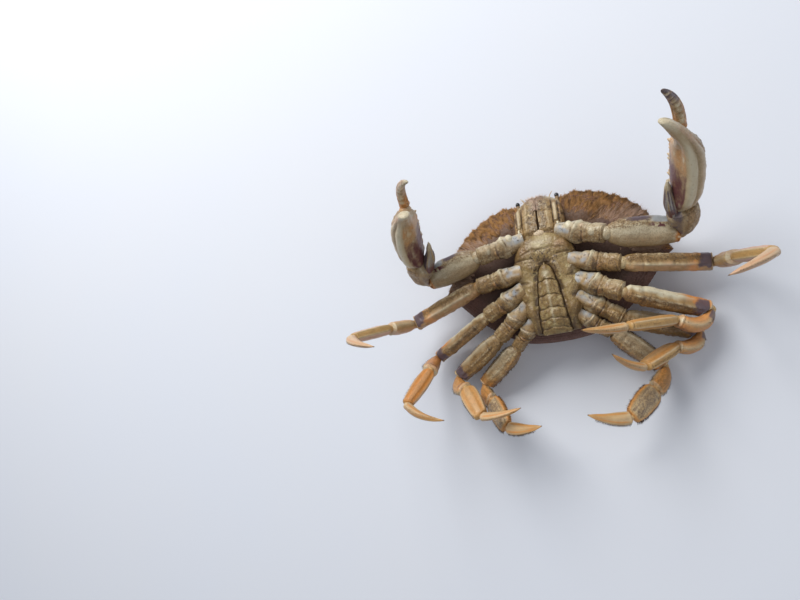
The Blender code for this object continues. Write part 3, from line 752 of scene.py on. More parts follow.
def base_segment(sheets, limb, bulk):
    """Coxa, basis and ischium: a bluish collar in the trunk, a hinge knob and soft sutures."""
    s = Segment(limb, 0, "base", rows=110, cols=72, square=2.7, buried=0.3)
    t, look = s.along, s.look
    wave = 0.025 * np.sin(np.radians(look) * 2 + 1.0 + bulk)
    cuts = (0.43 + wave, 0.56 - wave, 0.67 + wave, 0.92)
    groove = sum(bump(t, cut, 0.018) * depth for cut, depth in zip(cuts, (1.0, 0.7, 0.35, 0.5)))
    knob = bump(t, 0.47, 0.06) * lobe(look, -38.0, 24.0)
    boss = bump(t, 0.6, 0.05) * lobe(look, 48.0, 22.0)
    lip = 0.15 + 0.09 * np.cos(np.radians(look - 60.0)) + 0.06 * (s.grains(4.0, 35) - 0.5)
    collar = (1 - soft(t, lip - 0.1, lip + 0.06)) * band(look, -25.0, 140.0, 30.0)
    s.raise_by(1.3 * knob + 1.0 * boss - 0.9 * groove + 0.5 * bulk * bump(t, 0.22, 0.12))
    s.raise_by(0.9 * bump(t - lip, 0.04, 0.035) * band(look, -40, 140, 20.0))
    s.raise_by(1.2 * (s.grains(4.2, 3) - 0.5) + 0.5 * (s.grains(1.8, 4) - 0.5) * soft(t, 0.3, 0.5))
    s.raise_by(0.4 * (bump(t, 0.46, 0.02) + bump(t, 0.7, 0.02) + bump(t, 0.955, 0.02)))
    rear = 1 - soft(look, -30.0, 55.0)
    rim = bump(t - lip, 0.05, 0.05) * (1 - 0.5 * rear)
    sheets.tube(
        s.grid(), streak=s.streak, mottle=held(0.45 + 0.6 * rear - collar - 0.4 * rim),
        blue=collar * (0.15 + 1.0 * s.grains(3.0, 36)),
        pale=held(0.75 * rim + 0.45 * soft(look, 5, 60) * (1 - groove) + 0.35 * boss
                  + 0.1 * collar),
        brown=held(0.55 * groove + 0.45 * knob + 0.5 * rear * bump(t, 0.36, 0.06)
                   + 0.35 * soft(s.grains(2.6, 39), 0.58, 0.7)
                   + 0.7 * collar * bump(s.grains(2.4, 40), 0.5, 0.035)
                   + 0.5 * bump(t - lip, -0.015, 0.02)),
        amber=0.35 * knob + 0.25 * rear * band(t, 0.34, 0.7, 0.05))
    return s


def merus_paint(number, t, look, wave):
    """Painted values of a leg's merus: shares along it against the look angle round it.

    wave is a noise of about -0.5 to 0.5 that makes the borders wander.
    """
    t, look = t + 0.09 * wave * band(t, 0.5, 0.91, 0.02), look + 36.0 * wave
    front, rear = soft(look, -5.0, 35.0), 1 - soft(look, -35.0, 5.0)
    belly = band(look, -60.0, 75.0, 20.0)
    knee = soft(t, 0.72, 0.87) * (1 - soft(t, 0.93, 0.95))
    rim = soft(t, 0.94, 0.965)
    paint = {"pale": 0.0 * t, "rose": 0.0 * t}
    if number == 1:
        paint["mottle"] = held(soft(look, -30.0, 0.0) * (1 - soft(t, 0.8, 0.86)))
        paint["amber"] = (0.3 * front * soft(t, 0.3, 0.7) + 0.34 * rear
                          + 0.45 * band(t, 0.66, 0.8, 0.05))
        paint["rose"] = 0.3 * rear
        violet = knee * band(look, -45.0, 140.0, 20.0)
    elif number == 2:
        paint["pale"] = 0.95 * front * (1 - soft(t, 0.5, 0.75))
        paint["mottle"] = held(1.25 * (1 - soft(look, -30.0, 0.0)))
        paint["amber"] = 0.95 * front * soft(t, 0.45, 0.78) + 0.3 * rear
        paint["dark"] = 0.4 * band(look, -75.0, -8.0, 10.0) * band(t, 0.12, 0.85, 0.06)
        violet = knee * band(look, -60.0, 62.0, 18.0)
    elif number == 3:
        paint["pale"] = 0.3 * front * (1 - soft(t, 0.6, 0.85))
        paint["mottle"] = held(1.1 * (1 - soft(look, -15.0, 20.0)) + 0.25)
        paint["amber"] = 0.3 * soft(t, 0.6, 0.85)
        paint["dark"] = 0.3 * band(look, -75.0, 0.0, 10.0) * band(t, 0.12, 0.85, 0.06)
        violet = knee * band(look, -80.0, 60.0, 18.0) + 0.16 * front
    else:
        paint["pale"] = 0.35 * belly * (1 - soft(t, 0.55, 0.8))
        paint["amber"] = 0.55 * soft(t, 0.62, 0.88) + 0.4 * (1 - belly)
        paint["mottle"] = 0.5 + 0.3 * rear
        violet = 0.2 * belly * (1 - soft(t, 0.6, 0.8))
    paint["violet"] = violet * (1 - rim)
    paint["pale"] = held(paint["pale"] + 0.5 * rim)
    paint["brown"] = 0.4 * bump(t, 0.94, 0.007) + 0.35 * bump(t, 0.055, 0.02) + paint.pop("dark", 0.0)
    return paint


def merus_segment(sheets, limb, number):
    """Merus: long, four-cornered, with keels, granules, a dark saddle and a rimmed end."""
    s = Segment(limb, 1, "merus", rows=110, cols=72, square=3.2)
    t, look = s.along, s.look
    wave = s.grains(6.0, 33) - 0.5 + 0.5 * (s.grains(2.5, 34) - 0.5)
    knob = bump(t, 0.13, 0.045) * lobe(look, 12.0, 26.0)
    rear_keel, front_keel = lobe(look, -24.0, 8.0), lobe(look, 34.0, 8.0)
    length = band(t, 0.1, 0.86, 0.05)
    s.raise_by(length * (0.9 * rear_keel + 0.8 * front_keel + 0.6 * lobe(look, -66.0, 9.0)
                         - 0.5 * lobe(look, 5.0, 12.0)))
    s.raise_by(0.8 * knob + 0.5 * bump(t, 0.968, 0.014) - 0.35 * bump(t, 0.94, 0.01)
               - 0.5 * bump(t, 0.19, 0.02))
    rough = 1 - soft(look, -10.0, 40.0)
    s.raise_by(0.9 * (s.grains(1.6, 5) - 0.5) * (0.3 + 0.7 * rough) * (1 - soft(t, 0.84, 0.9)))
    s.raise_by(0.8 * (s.grains(5.0, 6) - 0.5))
    paint = merus_paint(number, t, look, wave)
    # Pale along the keels is partly their own cream and partly painted highlight.
    ridge = np.maximum(rear_keel, front_keel) * length * (1 - soft(t, 0.72, 0.8))
    paint["pale"] = held(paint["pale"] + 0.45 * ridge)
    paint["brown"] = held(paint["brown"] + 0.35 * bump(t, 0.19, 0.012) * rough
                          + 0.12 * lobe(look, -40.0, 9.0) * length)
    sheets.tube(s.grid(), streak=s.streak, **paint)
    return s


def carpus_segment(sheets, limb, number):
    """Carpus: widens to the end, with two keels, violet-grey shoulders and a pale rim."""
    s = Segment(limb, 2, "carpus", rows=72, cols=60, square=2.5)
    t, turn = s.along, s.round
    face = np.abs(np.sin(np.radians(turn)))
    edge = 1 - face
    s.raise_by(0.6 * edge ** 4 * band(t, 0.15, 0.9, 0.08) + 0.35 * bump(t, 0.95, 0.02))
    s.raise_by(0.4 * bump(face, 1.0, 0.08) * band(t, 0.2, 0.85, 0.08) - 0.35 * bump(t, 0.915, 0.012))
    s.raise_by(0.5 * (s.grains(4.0, 8) - 0.5))
    shoulder = band(t, 0.0, 0.3, 0.08) * soft(edge, 0.1, 0.6) + 0.7 * band(t, 0.76, 0.9, 0.04) * face
    violet, amber, rose = {1: (0.45, 0.3, 0.6), 2: (0.75, 0.75, 0.3), 3: (0.75, 0.62, 0.2),
                           4: (0.45, 0.6, 0.0)}[number]
    sheets.tube(
        s.grid(), streak=s.streak, mottle=0.3 + 0.3 * (number == 4),
        amber=amber * held(1.1 - 0.6 * edge ** 2), violet=violet * shoulder,
        pale=held(0.5 * edge ** 3 + 0.4 * soft(t, 0.93, 0.96)),
        rose=rose * (1 - edge), brown=0.35 * bump(t, 0.915, 0.012))
    return s


def propodus_segment(sheets, limb, number):
    """Propodus: a flat blade with raised rims and a ridged panel on each broad face."""
    s = Segment(limb, 3, "propodus", rows=84, cols=72, square=2.6 if number > 2 else 2.4)
    t, turn = s.along, s.round
    face = np.abs(np.sin(np.radians(turn)))
    inside = band(t, 0.08, 0.93, 0.06)
    rim = bump(face, 0.5, 0.16)
    rib = bump(face, 1.0, 0.04)
    s.raise_by(inside * (0.5 * rim - 0.4 * bump(face, 0.84, 0.12) + 0.4 * rib))
    s.raise_by(0.3 * bump(t, 0.965, 0.016) - 0.3 * bump(t, 0.93, 0.012))
    s.raise_by(0.4 * (s.grains(4.5, 9) - 0.5))
    panel = inside * soft(face, 0.5, 0.85)
    edge = 1 - soft(face, 0.25, 0.6)
    if number == 4:
        paint = {"amber": held(0.65 - 0.65 * panel), "pale": 0.4 * panel,
                 "mottle": 0.35 + 0.4 * panel, "violet": 0.42 * panel, "brown": 0.3 * edge}
    else:
        bright = {1: 0.3, 2: 1.0 if limb.side < 0 else 0.5, 3: 0.55}[number]
        # Pale on the raised rims and the middle rib is partly their own cream and partly painted highlight.
        paint = {"amber": bright * held(0.75 + 0.35 * panel - 0.3 * edge),
                 "pale": held(0.5 * rim * inside + 0.2 * rib * inside), "mottle": 0.3,
                 "rose": 0.85 * (number == 1) * panel}
    low = bump(t, 0.93, 0.01) + 0.6 * bump(face, 0.68, 0.05) * inside
    paint["brown"] = held(paint.get("brown", 0.0) + 0.4 * low)
    sheets.tube(s.grid(), streak=s.streak, **paint)
    return s


def dactyl_segment(sheets, limb, number):
    """Dactyl: a tapering claw with four grooves and a horn tip."""
    s = Segment(limb, 4, "dactyl", rows=80, cols=48, square=2.3)
    t, turn = s.along, np.radians(s.round)
    s.raise_by((0.25 * np.cos(4 * turn) + 0.1 * np.cos(8 * turn)) * band(t, 0.1, 0.88, 0.08))
    s.raise_by(0.35 * bump(t, 0.06, 0.025))
    groove = soft(-np.cos(4 * turn), 0.2, 1.0) * band(t, 0.1, 0.85, 0.08)
    amber = {1: 0.25, 2: 0.45, 3: 0.45, 4: 0.4}[number]
    sheets.tube(
        s.grid(), streak=s.streak, mottle=0.2, rose=0.5 * (number == 1),
        amber=held(amber + 0.25 * groove), pale=0.45 * (1 - groove) * (1 - t),
        brown=held(0.25 * groove + 0.75 * soft(t, 0.955, 0.985)))
    return s


# Claws

def arm_segment(sheets, limb):
    """Arm of a claw: plump, smooth below, with a violet front edge and a bluish sheen beyond it."""
    s = Segment(limb, 1, "arm", rows=110, cols=84, square=2.5)
    t, look = s.along, s.look
    s.raise_by(0.7 * lobe(look, 50.0, 9.0) * band(t, 0.12, 0.92, 0.06))
    s.raise_by(0.5 * (s.grains(1.9, 12) - 0.5) * band(look, 0.0, 110.0, 25.0)
               + 0.6 * (s.grains(8.0, 13) - 0.5))
    corner = lobe(look, -48.0, 34.0) * soft(t, 0.84, 0.95)
    s.raise_by(1.8 * corner * s.grains(3.0, 14) - 0.4 * bump(t, 0.935, 0.012) + 0.4 * bump(t, 0.96, 0.014))
    ripple = 10.0 * (s.grains(5.0, 19) - 0.5)
    low = 1 - soft(look + ripple, -22.0, 12.0)
    sheen = band(look + 0.5 * ripple, 27.0, 125.0, 6.0) * soft(t + 0.004 * ripple, 0.48, 0.64)
    specks = 0.9 * soft(s.grains(2.2, 18), 0.34, 0.54)
    sheets.tube(
        s.grid(), streak=s.streak, pale=0.6 * band(look, -34.0, 36.0, 20.0) * (1 - soft(t, 0.7, 0.95)),
        mottle=held(0.95 * soft(look + ripple, -14.0, 32.0) * (1 - 0.3 * soft(t, 0.85, 0.95))
                    * (1 - 0.9 * sheen) + 0.2 + 0.3 * low - 0.2 * sheen),
        violet=held(0.9 * band(look + ripple, 36.0, 70.0, 8.0) * soft(t, 0.05, 0.4) * (1 - sheen)),
        blue=1.3 * sheen, maroon=specks * band(look + ripple, 6.0, 27.0, 6.0) * soft(t, 0.4, 0.66),
        amber=held(0.75 * corner + 0.4 * soft(t, 0.86, 0.96) + 0.22 * low),
        brown=held(0.35 * bump(t, 0.935, 0.01) + 0.6 * corner * (s.grains(2.2, 20) > 0.5)
                   + 0.2 * bump(t, 0.04, 0.02)))
    spikes_on(sheets, s, ((0.9, 78.0, 3.0, 1.5), (0.93, -52.0, 2.8, 1.6)), amber=0.5)
    return s


def spikes_on(sheets, segment, places, **paint):
    """Short spines on a segment: (share along, look angle, length, radius)."""
    grid = segment.grid()
    for along, angle, length, radius in places:
        row, col = segment.nearest(along, angle)
        root = grid[row, col] - segment.outward[row, col] * 0.6
        way = unit(segment.outward[row, col] + 0.5 * segment.way[row, 0])
        sheets.spikes(root[None], way[None], length, radius, sides=10,
                      levels=SPINE_LEVELS, **paint)


def wrist_segment(sheets, limb, hand, tooth):
    """Wrist: olive-brown outside, purple inside, with a strong tooth on the inner corner.

    tooth is where the tooth ends, along the hand, to the finger side and inward.
    """
    s = Segment(limb, 2, "wrist", rows=90, cols=84, square=2.4)
    t = s.along
    s.middle = s.middle + (hand.inner * 2.6 * np.sin(math.pi * s.t[:, None]) ** 0.7)[:, None]
    inward = (s.outward * hand.inner).sum(-1)
    inner = soft(inward, -0.1, 0.4)
    s.raise_by(0.9 * (s.grains(2.4, 15) - 0.4) * (1 - inner) + 0.8 * (s.grains(7.0, 16) - 0.5))
    s.raise_by(-0.5 * bump(t, 0.9, 0.015) + 0.4 * bump(t, 0.94, 0.018))
    sheets.tube(
        s.grid(), streak=s.streak, mottle=0.9 * (1 - inner), amber=0.3 * (1 - inner) * soft(t, 0.0, 0.4),
        violet=0.9 * inner * (0.5 + 0.8 * (s.grains(6.0, 17) - 0.3)),
        blue=0.6 * inner * soft(s.streak, 0.5, 0.65),
        maroon=0.8 * inner * (1 - soft(t, 0.1, 0.4)) * (0.5 + s.streak),
        brown=held(0.35 * bump(t, 0.9, 0.012) + 0.2 * (1 - inner)))
    u = np.linspace(0.0, 1.0, 40)[:, None]
    start = limb.joints[2] * 0.55 + limb.joints[3] * 0.45 + hand.inner * 3.0
    end = hand.at(*tooth)
    bow = (start + end) / 2 + hand.inner * 2.5
    path = start * (1 - u) ** 2 + bow * 2 * u * (1 - u) + end * u ** 2
    radii = curve(u[:, 0], ((0.0, 4.5), (0.2, 7.4), (0.45, 7.6), (0.66, 5.4), (0.86, 2.9), (1.0, 0.9)))
    grid = rod_points(path, radii[:, 0], 40, hand.inner, 0.62)
    rough = lumps(grid, 4.0, 23)
    around = np.linspace(0, 2 * math.pi, 40, endpoint=False)[None, :]
    streaks = lumps(stacked(7.0 * np.cos(around), 7.0 * np.sin(around), 2.6 * u), 1.7, 29)
    sheets.tube(
        grid + unit(grid - path[:, None]) * (0.9 * (rough - 0.5))[..., None],
        streak=streaks, violet=0.9 * (1 - soft(streaks, 0.38, 0.56)) * (1 - soft(u, 0.75, 0.95)),
        maroon=0.75 * soft(streaks + 0.3 * rough, 0.52, 0.68) * (1 - soft(u, 0.3, 0.75)),
        blue=0.9 * band(streaks, 0.4, 0.56, 0.05) * band(u, 0.2, 0.85, 0.1),
        pale=held(0.7 * soft(u, 0.75, 0.95) + 0.5 * soft(streaks, 0.66, 0.74)),
        amber=0.3 * soft(u, 0.7, 0.95) + 0 * rough, mottle=0.4)


class Hand:
    """Frame of a hand: wrist point, ways along it, to the finger side and inward."""

    def __init__(self, name, limb):
        self.along = limb.ways[3]
        side = direction(*FINGER_SIDE[name])
        self.side = unit(side - self.along * (side @ self.along))
        self.inner = np.cross(self.along, self.side) * -limb.side
        self.wrist = limb.joints[3]
        self.before = limb.end_way(2)
        self.path = FINGER_PATH[name]
        self.bent = FINGER_BEND[name]
        self.twist = PALM_TWIST[name]

    def at(self, along, side, inward):
        """Points from distances along the hand, to the finger side and inward."""
        parts = zip((along, side, inward), (self.along, self.side, self.inner))
        return self.wrist + sum(np.asarray(value)[..., None] * way for value, way in parts)


def palm(sheets, hand):
    """Palm and fixed finger: ovals on a bent middle line, with keels, crest and molar teeth.

    The angle round the palm is 0 on the finger side, 90 inside and 180 on the crest.
    """
    rows, cols = 200, 132
    s = np.linspace(0.0, 1.0, rows)
    reach = HAND[-1][0] * (0.8 * s + 0.2 * (0.5 - 0.5 * np.cos(math.pi * s)))
    shift, inward, height, thickness = curve(reach, HAND).T[:, :, None]
    turn = 2 * math.pi * np.arange(cols)[None, :] / cols
    angle = np.degrees(turn) - 360.0 * (turn > math.pi) + 0 * reach[:, None]
    across, deep = np.cos(turn), np.sin(turn)
    across = np.sign(across) * np.abs(across) ** 0.92
    reach = reach[:, None] + 0.0 * angle
    share = held((reach - PALM_LENGTH) / (HAND[-1][0] - PALM_LENGTH)) ** 2
    base = hand.at(*(part + share * bent for part, bent in zip(
        (reach + 0.6, shift + height * across, inward + thickness * deep), hand.bent)))
    outward = unit(hand.at(0.0 * reach, across / height, deep / thickness) - hand.wrist)
    angle = apart(angle + hand.twist, 0.0)
    on_palm = soft(reach, 3.0, 12.0) * (1 - soft(reach, 58.0, 74.0))
    outer = band(angle, -170.0, -22.0, 8.0)
    ridge = lobe(angle, 12.0, 17.0)
    second = lobe(angle, -38.0, 12.0)
    bead_rows = sum(lobe(angle, middle, 4.0) for middle in BEAD_ROWS)
    beads = 0.55 + 0.45 * np.sin(reach * 2.1 + angle * 0.2)
    lift = on_palm * (1.4 * ridge + 0.9 * second - 1.2 * lobe(angle, -15.0, 7.0)
                      - 0.6 * lobe(angle, -58.0, 5.0) - 1.6 * lobe(angle, 62.0, 22.0))
    lift += 0.55 * bead_rows * on_palm * beads
    lift += 0.5 * (lumps(base, 2.0, 21) - 0.5) * outer + 0.7 * (lumps(base, 8.0, 22) - 0.5)
    on_crest = soft(reach, 3.0, 9.0) * (1 - soft(reach, 50.0, 56.0))
    crest = lobe(angle, 150.0, 20.0) * on_crest
    lift += crest * (1.3 + 0.5 * np.sin(reach * 0.85))
    molar = lobe(angle, 165.0, 34.0) * band(reach, 62.0, 83.0, 1.5)
    lift += molar * (0.9 * np.abs(np.sin(reach * 0.62)) ** 0.7 - 0.25)
    groove = lobe(angle, 92.0, 10.0) + lobe(angle, -96.0, 9.0)
    lift -= 0.45 * groove * band(reach, 62.0, 80.0, 3.0)
    grid = base + outward * lift[..., None]
    normal = -unit(hand.before + hand.along)
    start = hand.wrist + hand.along * 0.5
    fitted = slid(grid, start, normal, -hand.along)
    grid = np.where((reach < 45.0)[..., None], fitted, grid)
    fade = reach + 8.0 * (lumps(base, 5.0, 24) - 0.5) - 0.10 * np.abs(angle - 60.0)
    inside = band(angle, 31.0, 138.0, 7.0)
    tendon = 0.7 * lumps(stacked(reach / 9.0, across * 5.0, deep * 5.0), 1.0, 25)
    tendon += 0.3 * lumps(base, 3.0, 26)
    finger = soft(reach, 58.0, 68.0)
    sheets.tube(
        grid, streak=tendon,
        maroon=held(inside * (1 - soft(fade + 22.0 * tendon, 36.0, 64.0)) * (0.4 + 0.75 * tendon)),
        amber=held(0.62 * inside * band(fade, 33.0, 60.0, 10.0) * (0.4 + 0.8 * tendon) + 0.35 * crest
                   + 0.2 * finger * inside + 0.2 * outer * soft(np.abs(angle), 60, 120)),
        # Pale on the ridge and the second keel is painted highlight.
        pale=held(0.8 * ridge * on_palm + 0.6 * second * on_palm + 0.75 * soft(reach, 76.0, 84.0)
                  + 0.8 * molar + 0.3 * inside * (tendon > 0.6) * soft(fade, 36.0, 50.0)),
        rose=0.45 * outer * (1 - soft(-angle, 60.0, 90.0)) + 0.3 * inside * finger,
        mottle=held(0.6 * outer * soft(-angle, 40.0, 90.0) * (1 - finger) + 0.35 * (1 - ridge)),
        violet=0.3 * inside * (tendon < 0.4) * (1 - soft(fade, 14.0, 30.0)),
        blue=0.3 * inside * soft(tendon, 0.56, 0.7) * band(fade, 8.0, 40.0, 8.0),
        # Brown in the valley at -15 degrees is painted shade.
        brown=held(0.3 * groove * finger + 0.35 * lobe(angle, -15.0, 6.0) * on_palm
                   + 0.3 * lobe(angle, 34.0, 5.0) * on_palm + 0.3 * (reach < 3.0)))
    crest_step = np.arange(CREST_SPINES)
    crest_at = 15.0 + 36.0 * np.linspace(0.0, 1.0, CREST_SPINES) + 1.1 * np.sin(crest_step * 2.3)
    shift, inward, height, thickness = curve(crest_at, HAND).T
    for lean, size in ((0.1, 0.9), (0.75, 1.0)):
        roots = hand.at(crest_at, shift - (height - 0.9) * math.cos(lean),
                        inward + (thickness - 0.5) * math.sin(lean))
        ways = unit(-hand.side * math.cos(lean) + 0.5 * hand.along + 1.5 * lean * hand.inner)
        lengths = (3.0 + 0.8 * np.sin(crest_step * 1.7)) * size
        sheets.spikes(roots, np.repeat(ways[None], len(roots), 0), lengths, 2.2 * size, sides=10,
                      levels=SPINE_LEVELS, pale=0.4, amber=0.5, brown=0.25)


def movable_finger(sheets, hand, bright):
    """Movable finger: a bowed rod that hooks inwards, with a row of teeth between grooves.

    A ball of skin fills its hinge; bright is 1 for a pale finger and 0 for a dark one.
    """
    rows, cols = 130, 72
    s = np.linspace(0.0, 1.0, rows)
    t = (0.6 * s + 0.4 * (0.5 - 0.5 * np.cos(math.pi * s)))[:, None]
    root, low, high, tip = (hand.at(*np.add(FINGER_ROOT, corner)) for corner in (
        (0.0, 0.0, 0.0), *hand.path))
    middle = (root * (1 - t) ** 3 + low * 3 * t * (1 - t) ** 2 + high * 3 * t * t * (1 - t)
              + tip * t ** 3)
    heading = unit(np.gradient(middle, axis=0))
    across = unit(hand.side - heading * (heading @ hand.side)[:, None])
    inner = unit(hand.inner - heading * (heading @ hand.inner)[:, None]
                 - across * (across @ hand.inner)[:, None])
    width, thickness = CLAW_SIZES[4][1:]
    shares = curve(t[:, 0], SHAPES["finger"])
    turn = 2 * math.pi * np.arange(cols)[None, :] / cols
    angle = np.degrees(turn) - 360.0 * (turn > math.pi) + 0 * t
    offset = (across[:, None] * (np.cos(turn) * width * shares[:, :1])[..., None]
              + inner[:, None] * (np.sin(turn) * thickness * 1.04 * shares[:, 1:])[..., None])
    t = t + 0.0 * angle
    bite = bump(angle, 0.0, 30.0) * band(t, 0.14, 0.93, 0.03)
    molar = np.abs(np.sin(t * math.pi * 8.5)) ** 0.8
    groove = bump(np.abs(angle), 62.0, 9.0) + bump(np.abs(angle), 118.0, 8.0)
    lift = bite * (1.0 * molar - 0.3) - 0.45 * groove * band(t, 0.12, 0.86, 0.06)
    lift += 0.5 * bump(t, 0.05, 0.03) + 0.25 * (lumps(middle[:, None] + offset, 1.6, 31) - 0.5) * (1 - t)
    grid = middle[:, None] + offset + unit(offset) * (lift * (1 - soft(t, 0.97, 1.0)))[..., None]
    hinge = ball_points((0.0, 0.0, 0.0), (1.0, 1.0, 1.0), 24, 30)
    hinge = hinge @ np.array([hand.side, hand.along, hand.inner])
    sheets.tube(hand.at(*HINGE_PLACE) + HINGE_RADIUS * hinge, amber=0.5, mottle=0.5, brown=0.15)
    end, start = soft(t, 0.84, 0.95), 1 - soft(t, 0.25, 0.5)
    dark = (1 - bright) * soft(t, 0.35, 0.7)
    worn = lumps(middle[:, None] + offset, 2.2, 27)
    sheets.tube(
        grid, amber=held((0.45 + 0.3 * start) * (1 - 0.5 * bite) * (1 - 0.5 * end)),
        pale=held((0.7 - 0.25 * dark) * bite * molar + bright * (0.9 * end + 0.35 * (1 - start))),
        rose=bright * 0.55 * (1 - start) + 0.15,
        violet=0.75 * dark * (1 - 0.6 * bite * molar) * (0.5 + worn),
        brown=held(0.55 * bite * (1 - molar) * (1 - 0.5 * bright) + 0.35 * groove + (1 - bright) * 0.4 * end
                   + 0.4 * bump(t, 0.1, 0.02)), mottle=0.6, streak=worn)


# Trunk

def outline(sizes, toothed):
    """x and y round the carapace's edge, clockwise from the middle of the front.

    A frontal line, then a rounded side x = W sin^c, y = F cos^c with ten saw teeth whose points
    are near their front ends, then a straight bulging slope and the hind margin, mirrored.
    """
    half = SHELL_HALF
    flat = np.linspace(0.0, 26.5, FRONT_STEPS)
    frontal = np.interp(flat, *np.transpose(FRONT_EDGE)) if toothed else np.full(FRONT_STEPS, 55.2)
    first = math.asin((27.0 / half) ** (1.0 / SIDE_CURVE))
    step = np.arange(1, SIDE_TEETH * TOOTH_STEPS + 1) / TOOTH_STEPS
    turn = first + (math.pi / 2 - first) * step / SIDE_TEETH
    side = np.stack([half * np.sin(turn) ** SIDE_CURVE,
                     CENTRE_Y + FRONT_REACH * np.maximum(np.cos(turn), 0.0) ** SIDE_CURVE], -1)
    out = unit(np.stack([np.sin(turn) / half, np.cos(turn) / FRONT_REACH], -1))
    phase = step % 1.0
    saw = np.where(phase < 0.3, phase / 0.3, (1 - phase) / 0.7) ** 1.25 * sizes.tooth / MM
    saw = saw * (0.45 + 0.55 * step / SIDE_TEETH)
    last = step > SIDE_TEETH - 1
    saw = np.where(last, ((step - SIDE_TEETH + 1) ** 1.3) * sizes.last_tooth / MM, saw)
    side = side + out * (saw[:, None] if toothed else 0.6)
    t = np.linspace(0.0, 1.0, SLOPE_STEPS)[:, None]
    notch = np.array([half - 2.0, CENTRE_Y - 5.0])
    hind = np.array([HIND_HALF, CENTRE_Y - BACK_REACH + 4.0])
    bulge = np.array([0.62, -0.78])
    slope = notch * (1 - t) + hind * t + bulge * 4.0 * np.sin(math.pi * t)
    if toothed:
        slope = slope + bulge * 0.5 * np.abs(np.sin(t * 70.0)) * (t < 0.97)
    rear_x = np.linspace(HIND_HALF - 1.0, 0.0, REAR_STEPS)
    rear = np.stack([rear_x, CENTRE_Y - BACK_REACH + 3.6 * (rear_x / HIND_HALF) ** 2.2], -1)
    right = np.concatenate([np.stack([flat, frontal], -1), side, slope, rear])
    return np.concatenate([right, (right * (-1, 1))[-2:0:-1]])


def shell_rows(sizes):
    """The carapace as a grid: rings from the flat of the back out to the edge and in below.

    A ring is the edge shrunk towards the centre; back height rises as share^2.1, and the
    underside rises from the edge to a level seat.
    """
    sharp, plain = outline(sizes, True), outline(sizes, False)
    centre = np.array([0.0, CENTRE_Y])
    back = np.concatenate([np.linspace(0.02, DOME_FLAT, 12), np.linspace(DOME_FLAT, 0.965, 58)[1:],
                           (0.985, 0.995)])
    under = np.concatenate([(0.998, 0.99, 0.975), np.linspace(0.96, BELLY_FLAT, 34),
                            np.linspace(BELLY_FLAT, 0.3, 8)[1:]])
    share = np.concatenate([back, (1.0,), under])[:, None]
    below = (np.arange(len(share)) > len(back))[:, None]
    tooth = soft(share, 0.93, 0.995)[..., None]
    edge = plain * (1 - tooth) + sharp * tooth
    flat = centre + (edge - centre) * share[..., None]
    rise = held((edge[..., 1] - CENTRE_Y) / FRONT_REACH)
    margin = MARGIN_Z + 2.0 * rise
    depth = held((share - DOME_FLAT) / (1.0 - DOME_FLAT)) ** 2.1
    upper = (margin - 1.2 * (1 - soft(share, 0.97, 1.0))) * depth
    climb = np.minimum(1.0, ((1.0 - share) / (1.0 - BELLY_FLAT))) ** 0.8
    lower = margin + 1.4 * soft(1 - share, 0.0, 0.05) + (BELLY_Z - margin - 1.4) * climb
    height = np.where(below, lower, upper)
    return np.concatenate([flat, height[..., None]], -1), share, below


def shell_relief(grid, share, below):
    """Lobes and granules of the back in millimetres, kept off the flat, and folds below."""
    x, y = np.abs(grid[..., 0]), grid[..., 1]
    groove = bump(x - 20.0 - 8.0 * np.sin(y / 16.0), 0, 3.0) * soft(y, -40.0, -10.0)
    groove += 0.7 * bump(y + 16.0 - 0.12 * x, 0, 3.0) * soft(x, 22.0, 40.0)
    lobes = 1.2 * (lumps(grid, 22.0, 41) - 0.5) + 0.9 * (lumps(grid, 4.0, 42) - 0.5)
    ridge = np.sin((share - 0.86) * 190.0) * 0.22 * soft(share, 0.84, 0.92)
    off_floor = soft(share, DOME_FLAT + 0.02, DOME_FLAT + 0.22)
    top = (lobes * 0.8 - 1.0 * groove) * off_floor * (1 - soft(share, 0.97, 1.0))
    bottom = 0.8 * (lumps(grid, 6.0, 43) - 0.5) + ridge
    return np.where(below, bottom * soft(1 - share, 0.01, 0.06), top)


def carapace_sheet(sizes):
    """The carapace with its relief pushed outwards, and its painted zones."""
    grid, share, below = shell_rows(sizes)
    lift = shell_relief(grid, share, below)
    away = np.where(below, 1.0, -1.0)
    high = grid.copy()
    high[..., 2] = np.maximum(grid[..., 2] + away * lift, 0.0)
    front = soft(grid[..., 1], -12.0, 0.0)
    furred = (soft(grid[..., 1] + 6.0 * (lumps(grid, 7.0, 44) - 0.5), 20.0, 30.0)
              + soft(share, 0.9, 0.97) * front)
    sheets = Sheets()
    sheets.tube(
        high, mottle=np.where(below, 1.0, soft(share, 0.992, 1.0)),
        amber=np.where(below, 0.85 * np.minimum(furred, 1.0), 0.35 * soft(share, 0.93, 1.0) * front),
        pale=0.5 * soft(share, 0.985, 1.0) * front,
        # Below, brown on the inner rings is painted shade beneath the legs.
        brown=np.where(below, 0.55 * (1 - soft(share, 0.72, 0.8)), 0.0))
    return sheets


def flap_half(y):
    """Half width of the belly flap: a narrow rounded point that widens backwards."""
    t = held((FLAP_TIP_Y - y) / (FLAP_TIP_Y - FLAP_BACK_Y))
    return 1.2 + (FLAP_HALF - 1.2) * t ** 0.38


def sternum_top(x, y):
    """Height of the sternum: level in the middle, lower at its sides, front and back."""
    front = np.maximum(0.0, (y - 8.0) / 15.0)
    back = np.maximum(0.0, (-40.0 - y) / 17.0)
    return STERNUM_TOP - 3.2 * (x / STERNUM_HALF) ** 2 - 4.5 * front ** 2 - 6.5 * back ** 2


